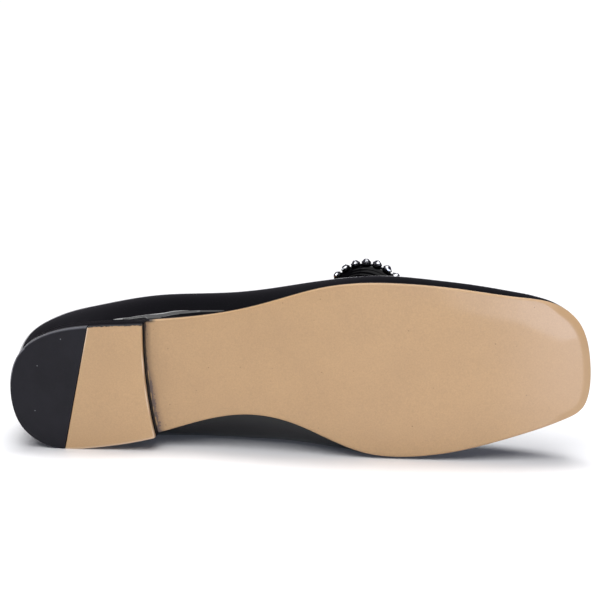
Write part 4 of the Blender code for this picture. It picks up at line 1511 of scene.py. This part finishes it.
class BALLETFLAT_OT_stitches(bpy.types.Operator):
    """Sews the upper: a row under the top edge, two rows beside the back seam and a bar tack over it."""

    bl_idname = "ballet_flat.stitches"
    bl_label = "Stitches"

    def execute(self, context):
        settings = context.scene.ballet_flat
        form = ShoeForm(settings)
        upper = settings.upper
        u, points, ways, upward, climb = wall_table(form, 900, np.linspace(0.0, 1.0, 121))
        tree = stitch_tree()
        values = {
            "Length": 0.78 * upper.stitch_pitch,
            "Width": upper.stitch_width,
            "Material": waxed_thread(settings.colours),
        }

        def on_wall(column, height, lift):
            place, way = (
                np.array([np.interp(height, climb[:, column], table[:, column, i]) for i in range(3)])
                for table in (points, ways)
            )
            way = unit(way)
            return place + lift * way, way

        def sew(name, places):
            path, out = (np.array(rows) for rows in zip(*places))
            run = run_along(path)
            stops = np.arange(0.0, run[-1], upper.stitch_pitch)
            path, out = (
                np.column_stack([np.interp(stops, run, column) for column in rows.T])
                for rows in (path, out)
            )
            piece = grow(path_object(name, path, unit(out)), tree, values)
            finish_piece(piece, "Black_patent")

        top = [on_wall(i, climb[-1, i] - upper.stitch_inset, 0.02 * MM) for i in range(6, len(u) - 6)]
        sew("Stitches_top_edge", top)

        heights = np.linspace(4 * MM, climb[-1, 0] - 4 * MM, 80)
        for name, side in (("outer", -1), ("inner", 1)):
            places = []
            for height in heights:
                column = range(len(u) - 12, len(u)) if side > 0 else range(12)
                spots = [on_wall(i, height, 0.1 * MM) for i in column]
                middle = on_wall(0, height, 0.0)[0][1]
                gaps = [abs(abs(spot[0][1] - middle) - 2.3 * MM) for spot in spots]
                places.append(spots[int(np.argmin(gaps))])
            sew(f"Stitches_back_{name}", places)

        tack = [on_wall(i % len(u), climb[-1, 0] - 3.2 * MM, 0.55 * MM) for i in range(-4, 5)]
        path, out = (np.array(rows) for rows in zip(*tack))
        bar = np.linspace(0.0, 1.0, 7)
        ends = np.linspace(0.0, 1.0, len(tack))
        path, out = (
            np.column_stack([np.interp(bar, ends, column) for column in rows.T]) for rows in (path, out)
        )
        piece = path_object("Stitches_bar_tack", path, unit(out))
        upright = np.tile(upward[-2, 0], (len(path), 1))
        piece.data.attributes["ahead"].data.foreach_set("vector", np.asarray(upright, np.float32).ravel())
        finish_piece(grow(piece, tree, {**values, "Length": 2.4 * MM}), "Black_patent")
        return {"FINISHED"}


class BALLETFLAT_OT_bow(bpy.types.Operator):
    """Makes the bow: two folded loops with gathers at the knot, and the pleated band round them."""

    bl_idname = "ballet_flat.bow"
    bl_label = "Bow"

    def execute(self, context):
        settings = context.scene.ballet_flat
        form = ShoeForm(settings)
        # Painted shade: the ribbon's lacquer is turned down to a fifth of the upper's, so the bow mirrors
        # less, as if it lay in shade
        patent = patent_coat(settings.colours, "Patent_ribbon_shaded", 0.2)
        turn, across = np.meshgrid(np.linspace(0.0, 1.0, 281), np.linspace(-1.0, 1.0, 61))
        for row in LOOP_ROWS:
            name = f"Loop_{row.name}_patent"
            points = form.loop_points(row, turn.ravel(), across.ravel(), settings.bow.hem)
            mesh = grid_mesh(name, points.reshape(turn.shape + (3,)))
            mesh.shade_smooth()
            loop = new_object(name, mesh)
            wall = loop.modifiers.new("Ribbon", "SOLIDIFY")
            wall.thickness = settings.bow.ribbon
            wall.offset = 0.0
            wall.use_even_offset = True
            applied(loop)
            clean_mesh(loop.data)
            bevelled(loop, RIBBON_BEVEL)
            loop.data.materials.append(patent)
            finish_piece(loop, "Black_patent", f"bow_loop_{row.name}")
        knot = new_object("Knot_patent", knot_mesh(form))
        knot.data.materials.append(patent)
        finish_piece(knot, "Black_patent", "bow_knot")
        return {"FINISHED"}


def knot_mesh(form):
    """The bow's band: a block with large rounds, with pleats that run over it from heel to toe."""
    half = np.array([5.5, 4.8, 4.2]) * MM
    rounds = 2.6 * MM
    work = bmesh.new()
    bmesh.ops.create_cube(work, size=2.0)
    bmesh.ops.subdivide_edges(work, edges=work.edges, cuts=27, use_grid_fill=True)
    side = np.cross(form.up, form.to_toe)
    middle = form.seat + form.up * (0.5 * MM + half[2])
    for vert in work.verts:
        place = np.array(vert.co) * half
        core = np.clip(place, -(half - rounds), half - rounds)
        away = place - core
        place = core + rounds * away / max(np.linalg.norm(away), 1e-9)
        pleat = 0.28 * MM * (math.cos(place[1] / half[1] * 8.0) - 1)
        place[2] += pleat * max(place[2] / half[2], 0.0)
        place[0] *= 1 + 0.06 * (place[2] / half[2])
        vert.co = middle + place[0] * form.to_toe + place[1] * side + place[2] * form.up
    bmesh.ops.recalc_face_normals(work, faces=work.faces)
    mesh = bpy.data.meshes.new("Knot_patent")
    work.to_mesh(mesh)
    work.free()
    mesh.shade_smooth()
    return mesh


class BALLETFLAT_OT_stones(bpy.types.Operator):
    """Sets the stones: cut stones in plated cups along each loop's rim."""

    bl_idname = "ballet_flat.stones"
    bl_label = "Stones"

    def execute(self, context):
        settings = context.scene.ballet_flat
        form = ShoeForm(settings)
        bow = settings.bow
        stones, cups = stone_tree(), cup_tree()
        glass, plate = foiled_stone(settings.colours), plated_cup(settings.colours)
        for row in LOOP_ROWS:
            seats, ways = form.stone_seats(row)
            piece = grow(
                path_object(f"Stones_{row.name}", seats + 0.3 * bow.stone_height * ways, ways),
                stones,
                {"Radius": bow.stone_radius, "Height": 0.6 * bow.stone_height, "Material": glass},
            )
            finish_piece(piece, "Clear_stone", f"stone_chain_{row.name}")
            piece = grow(
                path_object(f"Cups_{row.name}", seats, ways),
                cups,
                {"Radius": 1.02 * bow.stone_radius, "Height": 0.36 * bow.stone_height, "Material": plate},
            )
            finish_piece(piece, "Clear_stone")
        return {"FINISHED"}


class BALLETFLAT_OT_stage(bpy.types.Operator):
    """Sets the stage: a pale floor, a soft panel in front, distant soft lights and the camera."""

    bl_idname = "ballet_flat.stage"
    bl_label = "Stage"

    def execute(self, context):
        scene = context.scene
        look = scene.ballet_flat.stage
        mesh = bpy.data.meshes.new("Floor")
        work = bmesh.new()
        bmesh.ops.create_grid(work, x_segments=8, y_segments=8, size=6.0)
        work.to_mesh(mesh)
        work.free()
        paint, tree, shader = new_material(
            "Matt_floor_paint", {"Roughness": 0.4, "Specular IOR Level": 0.35}
        )
        place = add_node(tree, "ShaderNodeTexCoord").outputs["Object"]
        brush = add_node(tree, "ShaderNodeTexNoise", {"Vector": place, "Scale": 1 / (60 * MM)}).outputs[0]
        white = toned(tree, look.floor, brush, 0.3, 0.7, 0.99, 1.01)
        tree.links.new(white, shader.inputs["Base Color"])
        mesh.materials.append(paint)
        new_object("Floor", mesh)

        for row in PANEL_ROWS:
            panel = bpy.data.lights.new(row.name, "AREA")
            panel.shape = "RECTANGLE"
            panel.size = row.width
            panel.size_y = row.height
            panel.energy = row.power
            panel.color = row.colour
            lamp = new_object(row.name, panel)
            lamp.location = row.place
            lamp.rotation_euler = (-Vector(row.place)).to_track_quat("-Z", "Y").to_euler()

        for row in SKY_ROWS:
            glow = bpy.data.lights.new(row.name, "SUN")
            glow.energy = row.strength * look.sky
            glow.angle = math.radians(row.width)
            lamp = new_object(row.name, glow)
            lamp.rotation_euler = (-Vector(row.place)).to_track_quat("-Z", "Y").to_euler()

        world = bpy.data.worlds.new("Room")
        world.use_nodes = True
        room = world.node_tree.nodes["Background"]
        room.inputs["Color"].default_value = ROOM_COLOUR
        room.inputs["Strength"].default_value = look.room
        scene.world = world
        scene.view_settings.view_transform = "Standard"

        lens = bpy.data.cameras.new("Camera")
        lens.lens = look.lens
        camera = new_object("Camera", lens)
        away = Vector(
            (
                math.sin(look.azimuth) * math.cos(look.elevation),
                -math.cos(look.azimuth) * math.cos(look.elevation),
                math.sin(look.elevation),
            )
        )
        camera.location = Vector(look.target) + away * look.distance
        aim = (-away).to_track_quat("-Z", "Y").to_matrix() @ Matrix.Rotation(look.roll, 3, "Z")
        camera.rotation_euler = aim.to_euler()
        scene.camera = camera
        return {"FINISHED"}


PIECES = (
    BALLETFLAT_OT_outsole,
    BALLETFLAT_OT_insole,
    BALLETFLAT_OT_heel,
    BALLETFLAT_OT_upper,
    BALLETFLAT_OT_stitches,
    BALLETFLAT_OT_bow,
    BALLETFLAT_OT_stones,
    BALLETFLAT_OT_stage,
)


class BALLETFLAT_PT_sidebar(bpy.types.Panel):
    """Lists the shoe's pieces and sizes."""

    bl_idname = "BALLETFLAT_PT_sidebar"
    bl_label = "Ballet Flat"
    bl_space_type = "VIEW_3D"
    bl_region_type = "UI"
    bl_category = "Ballet Flat"

    def draw(self, context):
        settings = context.scene.ballet_flat
        for piece in PIECES:
            self.layout.operator(piece.bl_idname)
        for label, group in (
            ("Sole", settings.sole),
            ("Upper", settings.upper),
            ("Bow", settings.bow),
            ("Colours", settings.colours),
            ("Stage", settings.stage),
        ):
            box = self.layout.box()
            box.label(text=label)
            for key in group.bl_rna.properties.keys():
                if key not in {"rna_type", "name"}:
                    box.prop(group, key)


GROUPS = (SoleSizes, UpperSizes, BowSizes, FinishColours, StageLook, BalletFlatSettings)


def register():
    for made in (*GROUPS, *PIECES, BALLETFLAT_PT_sidebar):
        bpy.utils.register_class(made)
    bpy.types.Scene.ballet_flat = PointerProperty(type=BalletFlatSettings)


def unregister():
    del bpy.types.Scene.ballet_flat
    for made in reversed((*GROUPS, *PIECES, BALLETFLAT_PT_sidebar)):
        bpy.utils.unregister_class(made)


def main():
    register()
    for piece in PIECES:
        group, name = piece.bl_idname.split(".")
        getattr(getattr(bpy.ops, group), name)()


if __name__ == "__main__":
    main()
